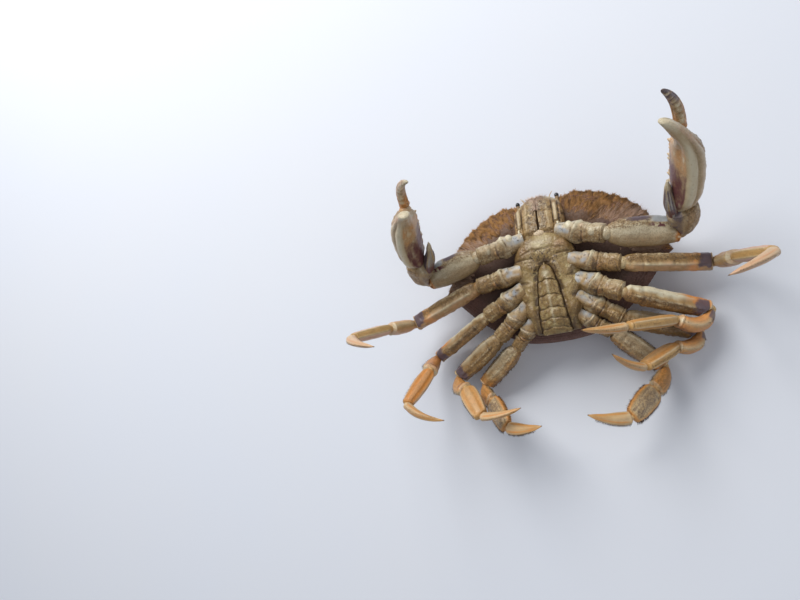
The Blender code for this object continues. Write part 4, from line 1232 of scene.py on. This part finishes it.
def slab(top, floor, skirt=6):
    """Grid of a plate: its top from side to side, down a skirt and back along the floor."""
    def at(place, height):
        return np.stack([place[..., 0], place[..., 1], height], -1)

    down = np.linspace(0.0, 1.0, skirt)[None, 1:]
    first, last = top[:, :1] + 0 * down[..., None], top[:, -1:] + 0 * down[..., None]
    right = at(last, last[..., 2] + (floor - last[..., 2]) * down)
    left = at(first, first[..., 2] + (floor - first[..., 2]) * down)[:, ::-1]
    under = np.linspace(1.0, 0.0, 10)[None, 1:-1, None]
    low = top[:, :1] + (top[:, -1:] - top[:, :1]) * under
    return np.concatenate([top, right, at(low, floor + 0 * low[..., 2]), left], 1)


def plate_sheet(grid, top, paint):
    """A plate with values painted on its top and the last ones repeated round its floor."""
    values = {}
    for name, value in paint.items():
        value = value + 0 * top
        rest = np.repeat(value[:, -1:], grid.shape[1] - top.shape[1], 1)
        values[name] = np.concatenate([value, rest], 1)
    sheets = Sheets()
    sheets.tube(grid, **values)
    return sheets


def sternum_sheet():
    """Breastplate: a rounded front shield, lobes between the legs and the flap's channel."""
    s = np.linspace(0.0, 1.0, 210)[:, None]
    y = STERNUM_BACK + (STERNUM_FRONT + 1.2 - STERNUM_BACK) * np.sin(s * math.pi / 2)
    u = np.linspace(-1.0, 1.0, 190)[None, :]
    reach = held(y / 24.0)
    half = 23.6 * np.sqrt(np.maximum(1 - reach ** 2.6, 0.0)) + 0.4
    rear = held((y - STERNUM_BACK) / 36.0) ** 0.85
    lobes = 2.4 * (1 - soft(y, 1.5, 6.5)) * (1 + 0.35 * np.cos((y + 5.0) / 16.5 * 2 * math.pi))
    half = (half + lobes) * (0.62 + 0.38 * rear)
    x = half * np.sin(u * math.pi / 2)
    far = np.abs(x) / half
    place = stacked(x, y, 0.0)
    rough, broad = lumps(place, 2.6, 51), lumps(place, 10.0, 53)
    top = sternum_top(x, np.minimum(y, 16.0)) - 3.0 * soft(far, 0.84, 1.0) ** 1.5
    top = top - 4.2 * soft(y, 15.0, 25.5) ** 1.6
    sutures = 0.0 * top
    for line in SUTURES:
        at = line - 4.5 * (1 - far) + 1.0 * np.sin(far * 4.0)
        edge = 1 - soft(np.abs(x), flap_half(y) + 4.0, flap_half(y) + 11.0)
        sutures = np.maximum(sutures, bump(y - at, 0, 0.9) * (1 - edge) * (0.6 + 0.5 * rough))
    crease = bump(y - 10.5 + 0.012 * x ** 2 - 2.5 * (broad - 0.5), 0, 1.1)
    crease = crease * (1 - soft(np.abs(x), 13.0, 21.0))
    notch = bump(np.hypot(x / 3.4, (y - 24.0) / 3.6), 0, 1.0)
    lip = flap_half(y) + 0.9
    ahead = np.hypot(x / 7.0, (y - FLAP_TIP_Y - 1.0) / 5.5)
    hollow = bump(ahead, 0, 1.0) * soft(y, FLAP_TIP_Y - 1.0, FLAP_TIP_Y + 2.0)
    dip = (1 - soft(np.abs(x), lip + 0.2, lip + 4.0)) * (1 - soft(y, FLAP_TIP_Y, FLAP_TIP_Y + 3.0))
    channel = (1 - soft(np.abs(x), lip - 0.8, lip)) * (1 - soft(y, FLAP_TIP_Y, FLAP_TIP_Y + 1.2))
    pillow = np.sin(held((y + 46.0) / 16.0 % 1.0) * math.pi) ** 0.5 * (1 - soft(y, 0.0, 6.0))
    shield = bump(np.hypot(x / 19.0, (y - 12.0) / 9.0), 0.0, 0.9)
    top = top - 1.1 * sutures - 0.7 * crease - 2.6 * hollow - 2.2 * notch
    top = top + 0.7 * pillow * soft(far, 0.45, 0.8) + 0.9 * shield - 1.1 * soft(far, 0.6, 0.95) ** 2
    top = top - 1.8 * dip - (CHANNEL_DEPTH - 1.8) * channel
    top = top + 0.9 * (rough - 0.5) * (1 - channel) + 2.4 * (broad - 0.5)
    top = top + 0.5 * (lumps(place, 1.3, 52) - 0.5)
    grid = slab(stacked(x, y, top), BELLY_Z + 1.0)
    dots = soft(lumps(place, 0.75, 54), 0.6, 0.68)
    # Painted shade: brown and extra mottle in the hollow before the flap's tip, in the dip beside the flap
    # and in its channel.
    paint = {
        "streak": 0.6 * broad + 0.4 * rough,
        "mottle": held(0.6 + 0.8 * (broad - 0.4) + 0.6 * hollow + 0.4 * dip + 0.3 * crease
                       + 0.5 * soft(far, 0.5, 0.9)),
        "pale": held(0.45 * bump(np.hypot(x / 7.0, (y - 16.0) / 5.0), 0, 1.0) + 0.5 * notch
                     + 0.35 * (1 - soft(far, 0.0, 0.9)) * (broad > 0.6) * (1 - dip)),
        "rose": 0.45 * bump(np.hypot((np.abs(x) - 14.0) / 5.0, (y - 11.0) / 4.5), 0, 1.0)
                + 0.3 * notch + 0.2 * soft(far, 0.6, 0.95),
        "brown": held(0.45 * sutures + 0.4 * crease + 0.9 * hollow * (0.5 + rough)
                      + 0.6 * dip * (0.4 + rough) + channel + 0.3 * soft(far, 0.6, 0.8)
                      + 0.35 * (broad < 0.3) * (1 - shield)
                      + 0.8 * dots * bump(np.hypot(x / 13.0, (y + 2.0) / 12.0), 0.75, 0.35)),
    }
    sheets = plate_sheet(grid, top, paint)
    wedge = ball_points((-0.3, 24.2, MOUTH_TOP_BACK - 1.8), (4.4, 2.6, 1.0))
    sheets.tube(wedge + 0.5 * (lumps(wedge, 2.0, 28) - 0.5)[..., None] * (0, 0, 1),
                pale=0.35, rose=0.5, mottle=0.8, brown=0.22)
    return sheets


def flap_sheet():
    """Belly flap: a domed end plate with a pale star, then plates with bosses and soft grooves."""
    s = np.linspace(0.0, 1.0, 160)[:, None]
    y = FLAP_BACK_Y + (FLAP_TIP_Y + 1.6 - FLAP_BACK_Y) * np.sin(s * math.pi / 2) ** 0.9
    u = np.linspace(-1.0, 1.0, 80)[None, :]
    bowed = y + 1.8 * np.abs(u) ** 1.5 + 0.3 * np.sin(u * 9.0)
    groove = sum(bump(bowed, joint, 0.5) for joint in FLAP_JOINTS)
    pinch = sum(bump(y, joint, 1.2) for joint in FLAP_JOINTS)
    tip = np.sqrt(held((FLAP_TIP_Y + 1.7 - y) / 5.0))
    half = (flap_half(np.minimum(y, FLAP_TIP_Y)) - 0.1) * (1 - 0.08 * pinch) * (0.5 + 0.5 * tip)
    x = half * u + 0 * y
    far = np.abs(u)
    floor = (sternum_top(0.0, y) - CHANNEL_DEPTH + 0.4)[:, :1]
    crown = 0.9 + 2.6 * np.sqrt(held(1 - far ** 2.2)) * (0.35 + 0.65 * tip)
    place = stacked(x, y, 0.0)
    rough = lumps(place, 2.0, 55)
    star = bump(np.hypot(x / 2.6, (y + 10.0) / 2.2), 0, 1.0)
    star = star + 0.6 * bump(x, 0, 1.0) * band(y, -50.0, -11.0, 3.0)
    boss = bump(x, 0.0, 2.8) * (0.5 - 0.5 * np.cos((y - FLAP_TIP_Y) * 2 * math.pi / 11.5))
    side = bump(far, 0.66, 0.14) * (1 - soft(y, -16.0, -13.0))
    top = floor + crown + 0.6 * boss - 1.2 * groove - 0.5 * side + 0.8 * (rough - 0.5)
    grid = slab(stacked(x, y, top), floor, skirt=4)
    paint = {
        "mottle": held(0.85 - 0.5 * star), "streak": rough,
        "pale": held(0.8 * star * (0.5 + rough)),
        # Brown at the flap's outer edges is painted shade along the channel.
        "brown": held(0.6 * groove + 0.3 * side + 0.7 * soft(far, 0.84, 1.0)
                      + 0.3 * (rough > 0.62) * far),
    }
    return plate_sheet(grid, top, paint)


def mouth_sheet(side):
    """Outer mouthpart: a speckled inner plate, a raised yellow bar beside it and a ribbed flank.

    Its front edge is the bow y = 59 - 5.5 (x / 15)^2.
    """
    t = np.linspace(0.0, 1.0, 150)[:, None]
    x = 0.25 + 20.0 * np.linspace(0.0, 1.0, 120)[None, :] * (1 - 0.2 * t ** 4)
    back, front = MOUTH_BACK - 1.4 - 0.02 * x ** 2, 59.0 - 5.5 * (x / 15.0) ** 2
    y = back + (front - back) * np.sin(t * math.pi / 2) ** 0.85
    t = (y - MOUTH_BACK) / (MOUTH_FRONT - MOUTH_BACK)
    profile = MOUTH_TOP_BACK + (MOUTH_TOP_FRONT - MOUTH_TOP_BACK) * np.clip(t, 0, 2) ** 1.6
    place = stacked(x * side, y, 0.0)
    rough, coarse, net = lumps(place, 1.2, 61), lumps(place, 3.0, 62), lumps(place, 1.9, 65)
    plate = 1.7 * np.sqrt(held(1 - ((x - 6.4) / 6.6) ** 2))
    across = x - 14.8 - 0.6 * (1 - t) + 1.0 * (coarse - 0.5)
    reach = np.abs(y - BAR_MIDDLE)
    half = 1.9 * np.sqrt(1 - 0.75 * held(reach / BAR_HALF) ** 4)
    bar = np.sqrt(held(1 - (across / half) ** 2)) * soft(BAR_HALF + 0.2 - reach, 0.0, 1.8)
    stub = soft(1.4 - np.abs(across - 0.6), 0.0, 0.8) * band(y, 24.5, 30.4, 0.8)
    seam = bump((x - 12.8 + 0.4 * t) / 0.5, 0, 1.0) * band(y, 24.0, 55.0, 2.0)
    joint = bump(y - 45.0 + 0.35 * x, 0, 0.45) * (x < 12.4) * (x > 2.0)
    ridge = bump((x - 9.6 + 1.6 * t) / 1.5, 0, 1.0) * band(y, 27.0, 52.0, 3.0)
    palp = bump(np.hypot((x - 2.8) / 2.4, (y - 51.5) / 3.4), 0, 1.0)
    flank = soft(x, 16.2, 17.6)
    ribs = flank * (lumps(stacked(x / 2.0, y / 0.9, 0.0), 1.0, 63) - 0.5)
    top = profile - 2.2 + plate + 1.9 * bar + 1.6 * stub + 0.7 * ridge + 1.1 * palp + ribs
    top = top - 0.8 * seam - 0.35 * joint - 1.6 * flank + 0.7 * (rough - 0.5) + 0.6 * (coarse - 0.5)
    top = top - 5.5 * soft((y - back) / (front - back), 0.86, 1.0) ** 1.5 - 1.6 * (1 - soft(y, 23.5, 27.0))
    top = top - 3.0 * soft(x, 18.6, 20.3) - 0.9 * (1 - soft(x, 0.2, 0.9))
    grid = slab(stacked(x, y, top), 31.0)
    grid[..., 0] *= side
    inner = 1 - soft(x, 5.0, 9.0)
    paint = {
        "mottle": held(0.75 + 0.7 * inner - 0.6 * bar - stub - 0.3 * ridge),
        "rose": 0.08 * (1 - flank) * (0.2 + coarse) * (1 - bar), "streak": coarse,
        "pale": held(0.35 * bar + 0.9 * stub + 0.7 * ridge * (coarse - 0.2) + 0.8 * palp * (rough > 0.4)
                     + 0.75 * inner * soft(coarse, 0.4, 0.6) + 0.5 * soft(y, front - 3.5, front - 1.0)),
        "amber": 0.12 * bar + 0.12 * flank + 0.2 * (1 - inner) * (1 - bar) * (1 - ridge),
        "brown": held(0.4 * seam + 0.35 * joint + 0.45 * flank * (rough > 0.45)
                      + 0.5 * (1 - soft(x, 0.2, 0.8)) + 0.85 * (x < 12.6) * bump(net, 0.5, 0.06)
                      * (1 - soft(y, 52.0, 55.0)) * (0.5 + 0.5 * inner)
                      + 0.3 * (1 - inner) * (1 - bar) * soft(coarse, 0.5, 0.7)
                      + 0.6 * bump(np.abs(across), 2.2, 0.5) * band(y, 30.0, 50.5, 1.5)
                      + 0.7 * (1 - soft(x + 1.2 * (rough - 0.5), 0.4, 1.3)) * band(y, 26.0, 47.0, 2.0)
                      + 0.5 * (1 - soft(y, back, back + 2.2))),
    }
    return plate_sheet(grid, top, paint)


def ball_points(centre, radii, rows=28, cols=36):
    """Grid of an ellipsoid, pole to pole along Y."""
    turn = np.linspace(0.06, math.pi - 0.06, rows)[:, None]
    around = 2 * math.pi * np.arange(cols)[None, :] / cols
    ball = stacked(np.sin(turn) * np.cos(around), -np.cos(turn), np.sin(turn) * np.sin(around))
    return np.asarray(centre) + ball * np.asarray(radii)


def rod_points(path, radii, cols=14, thin=(0.31, 0.12, 0.94), flat=1.0):
    """Grid of a rod: rings of the radii about the path, flattened along the thin direction."""
    path = np.asarray(path, float)
    way = unit(np.gradient(path, axis=0))
    across = unit(np.cross(way, thin))
    over = np.cross(way, across) * flat
    turn = 2 * math.pi * np.arange(cols)[None, :, None] / cols
    ring = across[:, None] * np.cos(turn) + over[:, None] * np.sin(turn)
    return path[:, None] + ring * np.asarray(radii)[:, None, None]


# Hair

def shell_tufts(sizes, mirror):
    """Combed hair beneath one side of the shell's front, and the fringe between its teeth.

    Roots are spread over the underside's rings. Each hair lies outwards along the skin, and a
    noise draws its neighbours' tips together into short locks; hairs in the gaps between locks
    are shorter and darker, as painted shade. Returns the combed hair and the edge's fringe.
    """
    chance = np.random.default_rng(SEED + int(mirror > 0))
    grid, share, below = shell_rows(sizes)
    low = np.flatnonzero(below[:, 0])
    low = low[share[low, 0] > 0.62]
    rows, levels = grid[low], share[low, 0]
    cols = rows.shape[1]
    first, last = 12, FRONT_STEPS + SIDE_TEETH * TOOTH_STEPS + 14
    up = np.array([0.0, 0.0, 1.0])
    combed, fringes = Sheets(), Sheets()
    for layer, (count, inner, outer, part, radius, stand, lowest) in HAIR_LAYERS.items():
        pale, fringing = layer == "pale", layer == "edge"
        length = part * (sizes.edge_hair if fringing else sizes.shell_hair)
        level = inner + (outer - inner) * chance.uniform(0, 1, count) ** 0.8
        col = chance.uniform(first, last, count)
        row = np.interp(-level, -levels, np.arange(len(levels)))
        i, j = row.astype(int).clip(0, len(rows) - 2), col.astype(int)
        a, b = (row - i)[:, None], (col - j)[:, None]
        roots = ((rows[i, j] * (1 - b) + rows[i, (j + 1) % cols] * b) * (1 - a)
                 + (rows[i + 1, j] * (1 - b) + rows[i + 1, (j + 1) % cols] * b) * a)
        border = roots[:, 1] + chance.normal(0, 2.5, count)
        kept = (border > lowest) & ((border < 27.0) | (not pale))
        roots, level, j = roots[kept], level[kept], j[kept]
        count = len(roots)
        out = unit(rows[1, j] - rows[-1, j])
        sideways = unit(np.cross(out, up))
        angle = np.arctan2(roots[:, 0], roots[:, 1] + 20.0)
        around = angle * 50.0
        strand, ahead, behind = (lumps(stacked(around + step, level * 34.0, 0.0), 1.0, 71)
                                 for step in (0.0, 0.3, -0.3))
        pull = np.clip(2.2 * (ahead - behind), -0.7, 0.7)
        swirl = lumps(roots, 9.0, 73) - 0.5
        ways = unit(out + sideways * (0.3 * swirl + pull + chance.normal(0, 0.1, count))[:, None]
                    + up * (stand * (0.4 + 1.4 * strand) + chance.uniform(0, 0.1, count))[:, None])
        size = length / MM * chance.uniform(0.6, 1.15, count) * (0.45 + 0.95 * strand)
        size = size * (1 - 0.4 * soft(level, 0.86, 0.97))
        bends = (up * -0.14 + out * 0.05) * size[:, None]
        chart = np.stack([roots[:, 0] / 200.0 + 0.5, roots[:, 1] / 200.0 + 0.5], -1)
        roots = roots - up * 0.25
        if mirror < 0:
            roots, ways, bends = (v * (-1.0, 1.0, 1.0) for v in (roots, ways, bends))
            chart[:, 0] = 1.0 - chart[:, 0]
        # dark is painted shade in the gaps between locks, where strand is low; it also grows towards the
        # innermost rings.
        dark = held(1.75 - 2.6 * strand + chance.normal(0, 0.18, count)
                    + 0.4 * (1 - soft(level, 0.66, 0.8)))
        sheets = fringes if fringing else combed
        sheets.spikes(roots, ways, size, radius, bends, levels=HAIR_LEVELS, flat=0.6, chart=chart,
                      shade=0.8 * dark if pale else dark, rose=1 - 0.7 * dark if pale else 0.0)
    return combed, fringes


def fringe(sheets, segment, places, length, chance, tile, clumps=0.0):
    """Hair in rows on a limb segment: (start, end, angle, spread, count).

    A tuft grows outwards and leans towards the limb's end; clumps draw the roots together.
    """
    grid = segment.grid()
    rows, cols = grid.shape[:2]
    for start, end, angle, spread, count in places:
        t = np.sort(chance.uniform(start, end, count))
        if clumps:
            step = clumps / segment.limb.sizes[segment.i][0]
            t = np.round(t / step) * step + chance.normal(0, 0.12 * step, count)
        row = np.interp(t, segment.t, np.arange(rows)).round().astype(int)
        turn = (angle + chance.normal(0, spread, count)) % 360.0
        col = (turn / 360.0 * cols).astype(int) % cols
        out = segment.outward[row, col]
        way = np.broadcast_to(segment.way, (*grid.shape[:2], 3))[row, col]
        ways = out + way * chance.uniform(0.15, 0.7, (count, 1)) + chance.normal(0, 0.18, (count, 3))
        size = length * chance.uniform(0.6, 1.25, count)
        chart = np.stack([tile[0] + 0.09 * turn / 360.0, tile[1] + 0.09 * t], -1)
        sheets.spikes(grid[row, col] - out * 0.2, ways, size, 0.13, way * 0.25 * size[:, None],
                      levels=HAIR_LEVELS, chart=chart, shade=chance.uniform(0, 1, count))


def mouth_tufts(sizes):
    """Bristles on the front 12 mm of the mouthparts, spread wider and longer towards the edge."""
    chance = np.random.default_rng(SEED + 5)
    sheets = Sheets()
    count = 1500
    y = MOUTH_FRONT + 1.0 - 12.0 * chance.uniform(0, 1, count) ** 1.3
    t = (y - MOUTH_BACK) / (MOUTH_FRONT - MOUTH_BACK)
    x = chance.normal(0.0, 1.0, count) * (0.5 + 2.8 * t ** 2)
    z = MOUTH_TOP_BACK + (MOUTH_TOP_FRONT - MOUTH_TOP_BACK) * held(t) ** 1.6 - 1.6
    roots = np.stack([x, y, z], -1)
    ways = np.stack([0.35 * np.sign(x) + chance.normal(0, 0.35, count),
                     0.35 + chance.normal(0, 0.4, count), chance.uniform(0.35, 1.0, count)], -1)
    size = sizes.mouth_hair / MM * chance.uniform(0.5, 1.2, count) * (0.5 + 0.9 * t ** 2)
    chart = np.stack([0.5 + x / 60.0, 0.5 + (y - 40.0) / 60.0], -1)
    sheets.spikes(roots, ways, size, 0.16, levels=HAIR_LEVELS, chart=chart,
                  shade=chance.uniform(0, 1, count))
    return sheets


def leg_fringes(number):
    """Fringes of a leg's five segments, thick on the last pair and sparse on the others.

    Each is rows of hair as (start, end, angle, spread, count), the share of the set length, the
    row of its charts and the distance between its clumps.
    """
    base = (((0.3, 0.5, 270.0, 40.0, 40), (0.55, 0.95, 270.0, 50.0, 50)), 0.7, 0.05, 0.0)
    if number == 4:
        return (base, (((0.1, 0.9, 0.0, 4.0, 420), (0.15, 0.9, 180.0, 4.0, 160)), 0.8, 0.2, 1.3),
                (((0.1, 0.95, 0.0, 6.0, 200), (0.3, 0.95, 180.0, 6.0, 60)), 0.8, 0.35, 1.3),
                (((0.04, 0.97, 0.0, 4.0, 520), (0.1, 0.95, 180.0, 5.0, 120)), 1.0, 0.5, 1.9),
                (((0.05, 0.8, 0.0, 6.0, 240),), 0.8, 0.65, 1.7))
    on_propodus = 180 if number == 3 else 90
    return (base, (((0.1, 0.9, 0.0, 6.0, 130),), 0.8, 0.2, 1.3),
            (((0.2, 0.95, 0.0, 8.0, 50),), 0.8, 0.35, 1.3),
            (((0.08, 0.95, 0.0, 5.0, on_propodus),), 0.55, 0.5, 1.9),
            (((0.08, 0.85, 0.0, 8.0, 110),), 0.4, 0.65, 1.7))


# Operators

class CrabPiece(bpy.types.Operator):
    """Base of the crab's operators."""

    bl_options = {"REGISTER", "UNDO"}

    def execute(self, context):
        scene = context.scene
        self.build(scene.crab_sizes, scene.crab_colours)
        return {"FINISHED"}


class CRAB_OT_shell(CrabPiece):
    """Carapace with its lobes, granules and side teeth"""

    bl_idname = "crab.shell"
    bl_label = "Carapace"

    def build(self, sizes, colours):
        carapace_sheet(sizes).put("shell", "shell", shell_finish(colours), ("carapace",))


class CRAB_OT_underside(CrabPiece):
    """Sternum and belly flap"""

    bl_idname = "crab.underside"
    bl_label = "Sternum and belly flap"

    def build(self, sizes, colours):
        finish = limb_finish(colours, "underside", tone(186, 168, 118), tone(150, 126, 78), 0.8)
        sternum_sheet().put("breastplate", "belly", finish, ("sternum",))
        flap_sheet().put("flap", "belly", finish, ("belly_flap",))


class CRAB_OT_face(CrabPiece):
    """Mouthparts, eyes and feelers"""

    bl_idname = "crab.face"
    bl_label = "Mouthparts, eyes and feelers"

    def build(self, sizes, colours):
        finish = limb_finish(colours, "mouthparts", tone(196, 174, 130), tone(164, 134, 88), 0.62)
        cornea = eye_finish()
        for side, word in ((1.0, LEFT), (-1.0, RIGHT)):
            mouth_sheet(side).put(f"jaw_{word}", "mouth", finish, (f"mouthpart_{word}",))
            x, y, z = EYE_PLACE
            eye = Sheets()
            eye.tube(ball_points((side * x, y, z), (EYE_RADIUS, 1.15 * EYE_RADIUS, EYE_RADIUS)))
            line = np.linspace(0.0, 1.0, 14)[:, None]
            foot, top = np.array([side * x, y - 6.0, z + 0.5]), np.array([side * x, y - 0.6, z])
            stalk = foot * (1 - line) + top * line
            eye.tube(rod_points(stalk, np.linspace(0.6, 0.85, 14) * EYE_RADIUS, 20), pale=1.0)
            eye.put(f"eyeball_{word}", "eye", cornea, (f"eye_{word}",))
            t = np.linspace(0.0, 1.0, 60)
            path = np.stack([side * (10.0 + 3.5 * t ** 2), 53.0 + 8.0 * t, 32.0 - 1.5 * t ** 2], -1)
            radii = curve(t, FEELER_RADII)[:, 0] * (1 + 0.12 * np.sin(t * 150.0) * (t > 0.3))
            feeler = Sheets()
            feeler.tube(rod_points(path, radii), amber=0.35, mottle=0.5)
            feeler.put(f"feeler_{word}", "mouth", finish, (f"antenna_{word}",))


class CRAB_OT_claws(CrabPiece):
    """Both claws: base, arm, wrist, hand and movable finger"""

    bl_idname = "crab.claws"
    bl_label = "Claws"

    def build(self, sizes, colours):
        finish = limb_finish(colours, "claw_shell", tone(196, 182, 150), tone(172, 148, 110), 0.9)
        for word in (LEFT, RIGHT):
            limb = Limb(f"claw_{word}", CLAW_SIZES)
            hand = Hand(f"claw_{word}", limb)
            base, arm, wrist, grip, finger = (Sheets() for part in CLAW_PARTS)
            claw_base(base, limb)
            arm_segment(arm, limb)
            knuckle(arm, limb, 1, 0.72, brown=0.3, mottle=0.8)
            wrist_segment(wrist, limb, hand, WRIST_TOOTH[f"claw_{word}"])
            knuckle(wrist, limb, 2, 0.8, brown=0.4, amber=0.3)
            palm(grip, hand)
            knuckle(grip, limb, 3, 0.62, brown=0.5, maroon=0.4)
            movable_finger(finger, hand, bright=float(word == RIGHT))
            for sheets, part in zip((base, arm, wrist, grip, finger), CLAW_PARTS):
                sheets.put(f"{part}_{word}", "claw", finish, (f"claw_{word}_{part}",))


def claw_base(sheets, limb):
    """Base of a claw: the legs' base, bulkier, with a pale block and a brown knob."""
    s = base_segment(sheets, limb, 1.4)
    grid = s.grid()
    for along, angle, radius, stretch, paint in (
            (0.06, 40.0, 3.4, 1.3, {"pale": 0.9}),
            (0.4, 40.0, 3.4, 0.9, {"rose": 0.3, "amber": 0.3, "mottle": 1.0, "brown": 0.35}),
            (0.68, 10.0, 3.4, 1.2, {"mottle": 0.8, "rose": 0.2})):
        row, col = s.nearest(along, angle)
        middle = grid[row, col] - s.outward[row, col] * 0.6 * radius
        ball = ball_points((0.0, 0.0, 0.0), (radius, radius * stretch, radius))
        ball = ball * (1 + 0.14 * (lumps(ball + middle, 2.4, 37) - 0.5))[..., None]
        sheets.tube(middle + ball, **paint)


class CRAB_OT_legs(CrabPiece):
    """Four pairs of walking legs with their fringes"""

    bl_idname = "crab.legs"
    bl_label = "Walking legs"

    def build(self, sizes, colours):
        cream = limb_finish(colours, "leg_shell", colours.cream, colours.tan)
        amber = limb_finish(colours, "leg_amber_shell", tone(206, 172, 116), tone(190, 150, 92))
        dark = hair_finish("leg_fringe", colours.fringe, tone(120, 92, 56))
        chance = np.random.default_rng(SEED + 9)
        hair = Sheets()
        makers = (lambda sheets, limb, number: base_segment(sheets, limb, 0.0),
                  merus_segment, carpus_segment, propodus_segment, dactyl_segment)
        for number, leg_sizes in LEG_SIZES.items():
            for word in (LEFT, RIGHT):
                limb = Limb(f"leg{number}_{word}", leg_sizes)
                segments = []
                for i, part in enumerate(LEG_PARTS):
                    sheets = Sheets()
                    segments.append(makers[i](sheets, limb, number))
                    if i:
                        knuckle(sheets, limb, i, 0.72, mottle=0.7, amber=0.3, brown=0.3)
                    finish, slot = (cream, "leg_cream") if i < 2 else (amber, "leg_amber")
                    sheets.put(f"{part}{number}_{word}", slot, finish, (f"leg{number}_{word}_{part}",))
                tile = 0.05 + 0.11 * (2 * number + (word == LEFT)) % 0.8
                length = sizes.leg_hair / MM
                for segment, (places, share, row, clumps) in zip(segments, leg_fringes(number)):
                    fringe(hair, segment, places, share * length, chance, (tile, row), clumps)
        hair.put("leg_fringes", "leg_amber", dark, charted=True)


class CRAB_OT_hair(CrabPiece):
    """Combed hair under the shell, the fringe between its teeth and the bristles of the mouth"""

    bl_idname = "crab.hair"
    bl_label = "Hair"

    def build(self, sizes, colours):
        # The dark tone (72, 46, 24) is the painted shade in the gaps between the hair's locks.
        combed = hair_finish("shell_hair", tone(116, 80, 42), colours.hair, (72, 46, 24))
        for side, word in ((1.0, LEFT), (-1.0, RIGHT)):
            under, edge = shell_tufts(sizes, side)
            under.put(f"shell_hair_{word}", "shell", combed, charted=True)
            edge.put(f"edge_hair_{word}", "shell", combed, charted=True)
        bristles = hair_finish("mouth_bristles", tone(214, 188, 160), colours.bristle, (158, 112, 88))
        mouth_tufts(sizes).put("mouth_bristles", "mouth", bristles, charted=True)


class CRAB_OT_stage(CrabPiece):
    """Pale floor, soft studio light and the camera"""

    bl_idname = "crab.stage"
    bl_label = "Stage"

    def build(self, sizes, colours):
        mesh = bpy.data.meshes.new("floor")
        corners = ((-1, -1), (1, -1), (1, 1), (-1, 1))
        mesh.from_pydata([(x * FLOOR_HALF, y * FLOOR_HALF, 0.0) for x, y in corners], [],
                         [(0, 1, 2, 3)])
        floor = bpy.data.objects.new("floor", mesh)
        mesh.materials.append(floor_finish(colours))
        bpy.context.scene.collection.objects.link(floor)
        for name, place, size, power in LAMPS:
            lamp = bpy.data.lights.new(name, "AREA")
            lamp.size, lamp.energy = size, power
            light = bpy.data.objects.new(name, lamp)
            light.location = place
            light.rotation_euler = (-Vector(place)).to_track_quat("-Z", "Y").to_euler()
            bpy.context.scene.collection.objects.link(light)
        world = bpy.data.worlds.new("soft_sky")
        world.use_nodes = True
        sky = world.node_tree.nodes["Background"]
        sky.inputs["Color"].default_value = (*tone(214, 222, 236), 1.0)
        sky.inputs["Strength"].default_value = SKY_STRENGTH
        scene = bpy.context.scene
        scene.world = world
        scene.view_settings.view_transform = "Standard"
        lens = bpy.data.cameras.new("camera")
        lens.lens, lens.sensor_width = CAMERA_LENS, CAMERA_SENSOR
        lens.clip_start = CAMERA_NEAR
        camera = bpy.data.objects.new("camera", lens)
        camera.location = Vector(CAMERA_PLACE) * MM
        camera.rotation_euler = [math.radians(turn) for turn in CAMERA_TURN]
        scene.collection.objects.link(camera)
        scene.camera = camera


class CRAB_PT_panel(bpy.types.Panel):
    """Lists the crab's pieces in the sidebar"""

    bl_idname = "CRAB_PT_panel"
    bl_label = "Dungeness crab"
    bl_space_type = "VIEW_3D"
    bl_region_type = "UI"
    bl_category = "Crab"

    def draw(self, context):
        for operator in PIECES:
            self.layout.operator(operator.bl_idname)
        for group in (context.scene.crab_sizes, context.scene.crab_colours):
            for name in group.__annotations__:
                self.layout.prop(group, name)


PIECES = (CRAB_OT_shell, CRAB_OT_underside, CRAB_OT_face, CRAB_OT_claws, CRAB_OT_legs,
          CRAB_OT_hair, CRAB_OT_stage)
CLASSES = (CrabSizes, CrabColours, *PIECES, CRAB_PT_panel)


def register():
    """Register the classes and the scene's settings."""
    for item in CLASSES:
        bpy.utils.register_class(item)
    bpy.types.Scene.crab_sizes = bpy.props.PointerProperty(type=CrabSizes)
    bpy.types.Scene.crab_colours = bpy.props.PointerProperty(type=CrabColours)


def unregister():
    """Take the settings and classes away again."""
    del bpy.types.Scene.crab_colours
    del bpy.types.Scene.crab_sizes
    for item in reversed(CLASSES):
        bpy.utils.unregister_class(item)


def main():
    """Build every piece."""
    register()
    bpy.ops.crab.shell()
    bpy.ops.crab.underside()
    bpy.ops.crab.face()
    bpy.ops.crab.claws()
    bpy.ops.crab.legs()
    bpy.ops.crab.hair()
    bpy.ops.crab.stage()


if __name__ == "__main__":
    main()
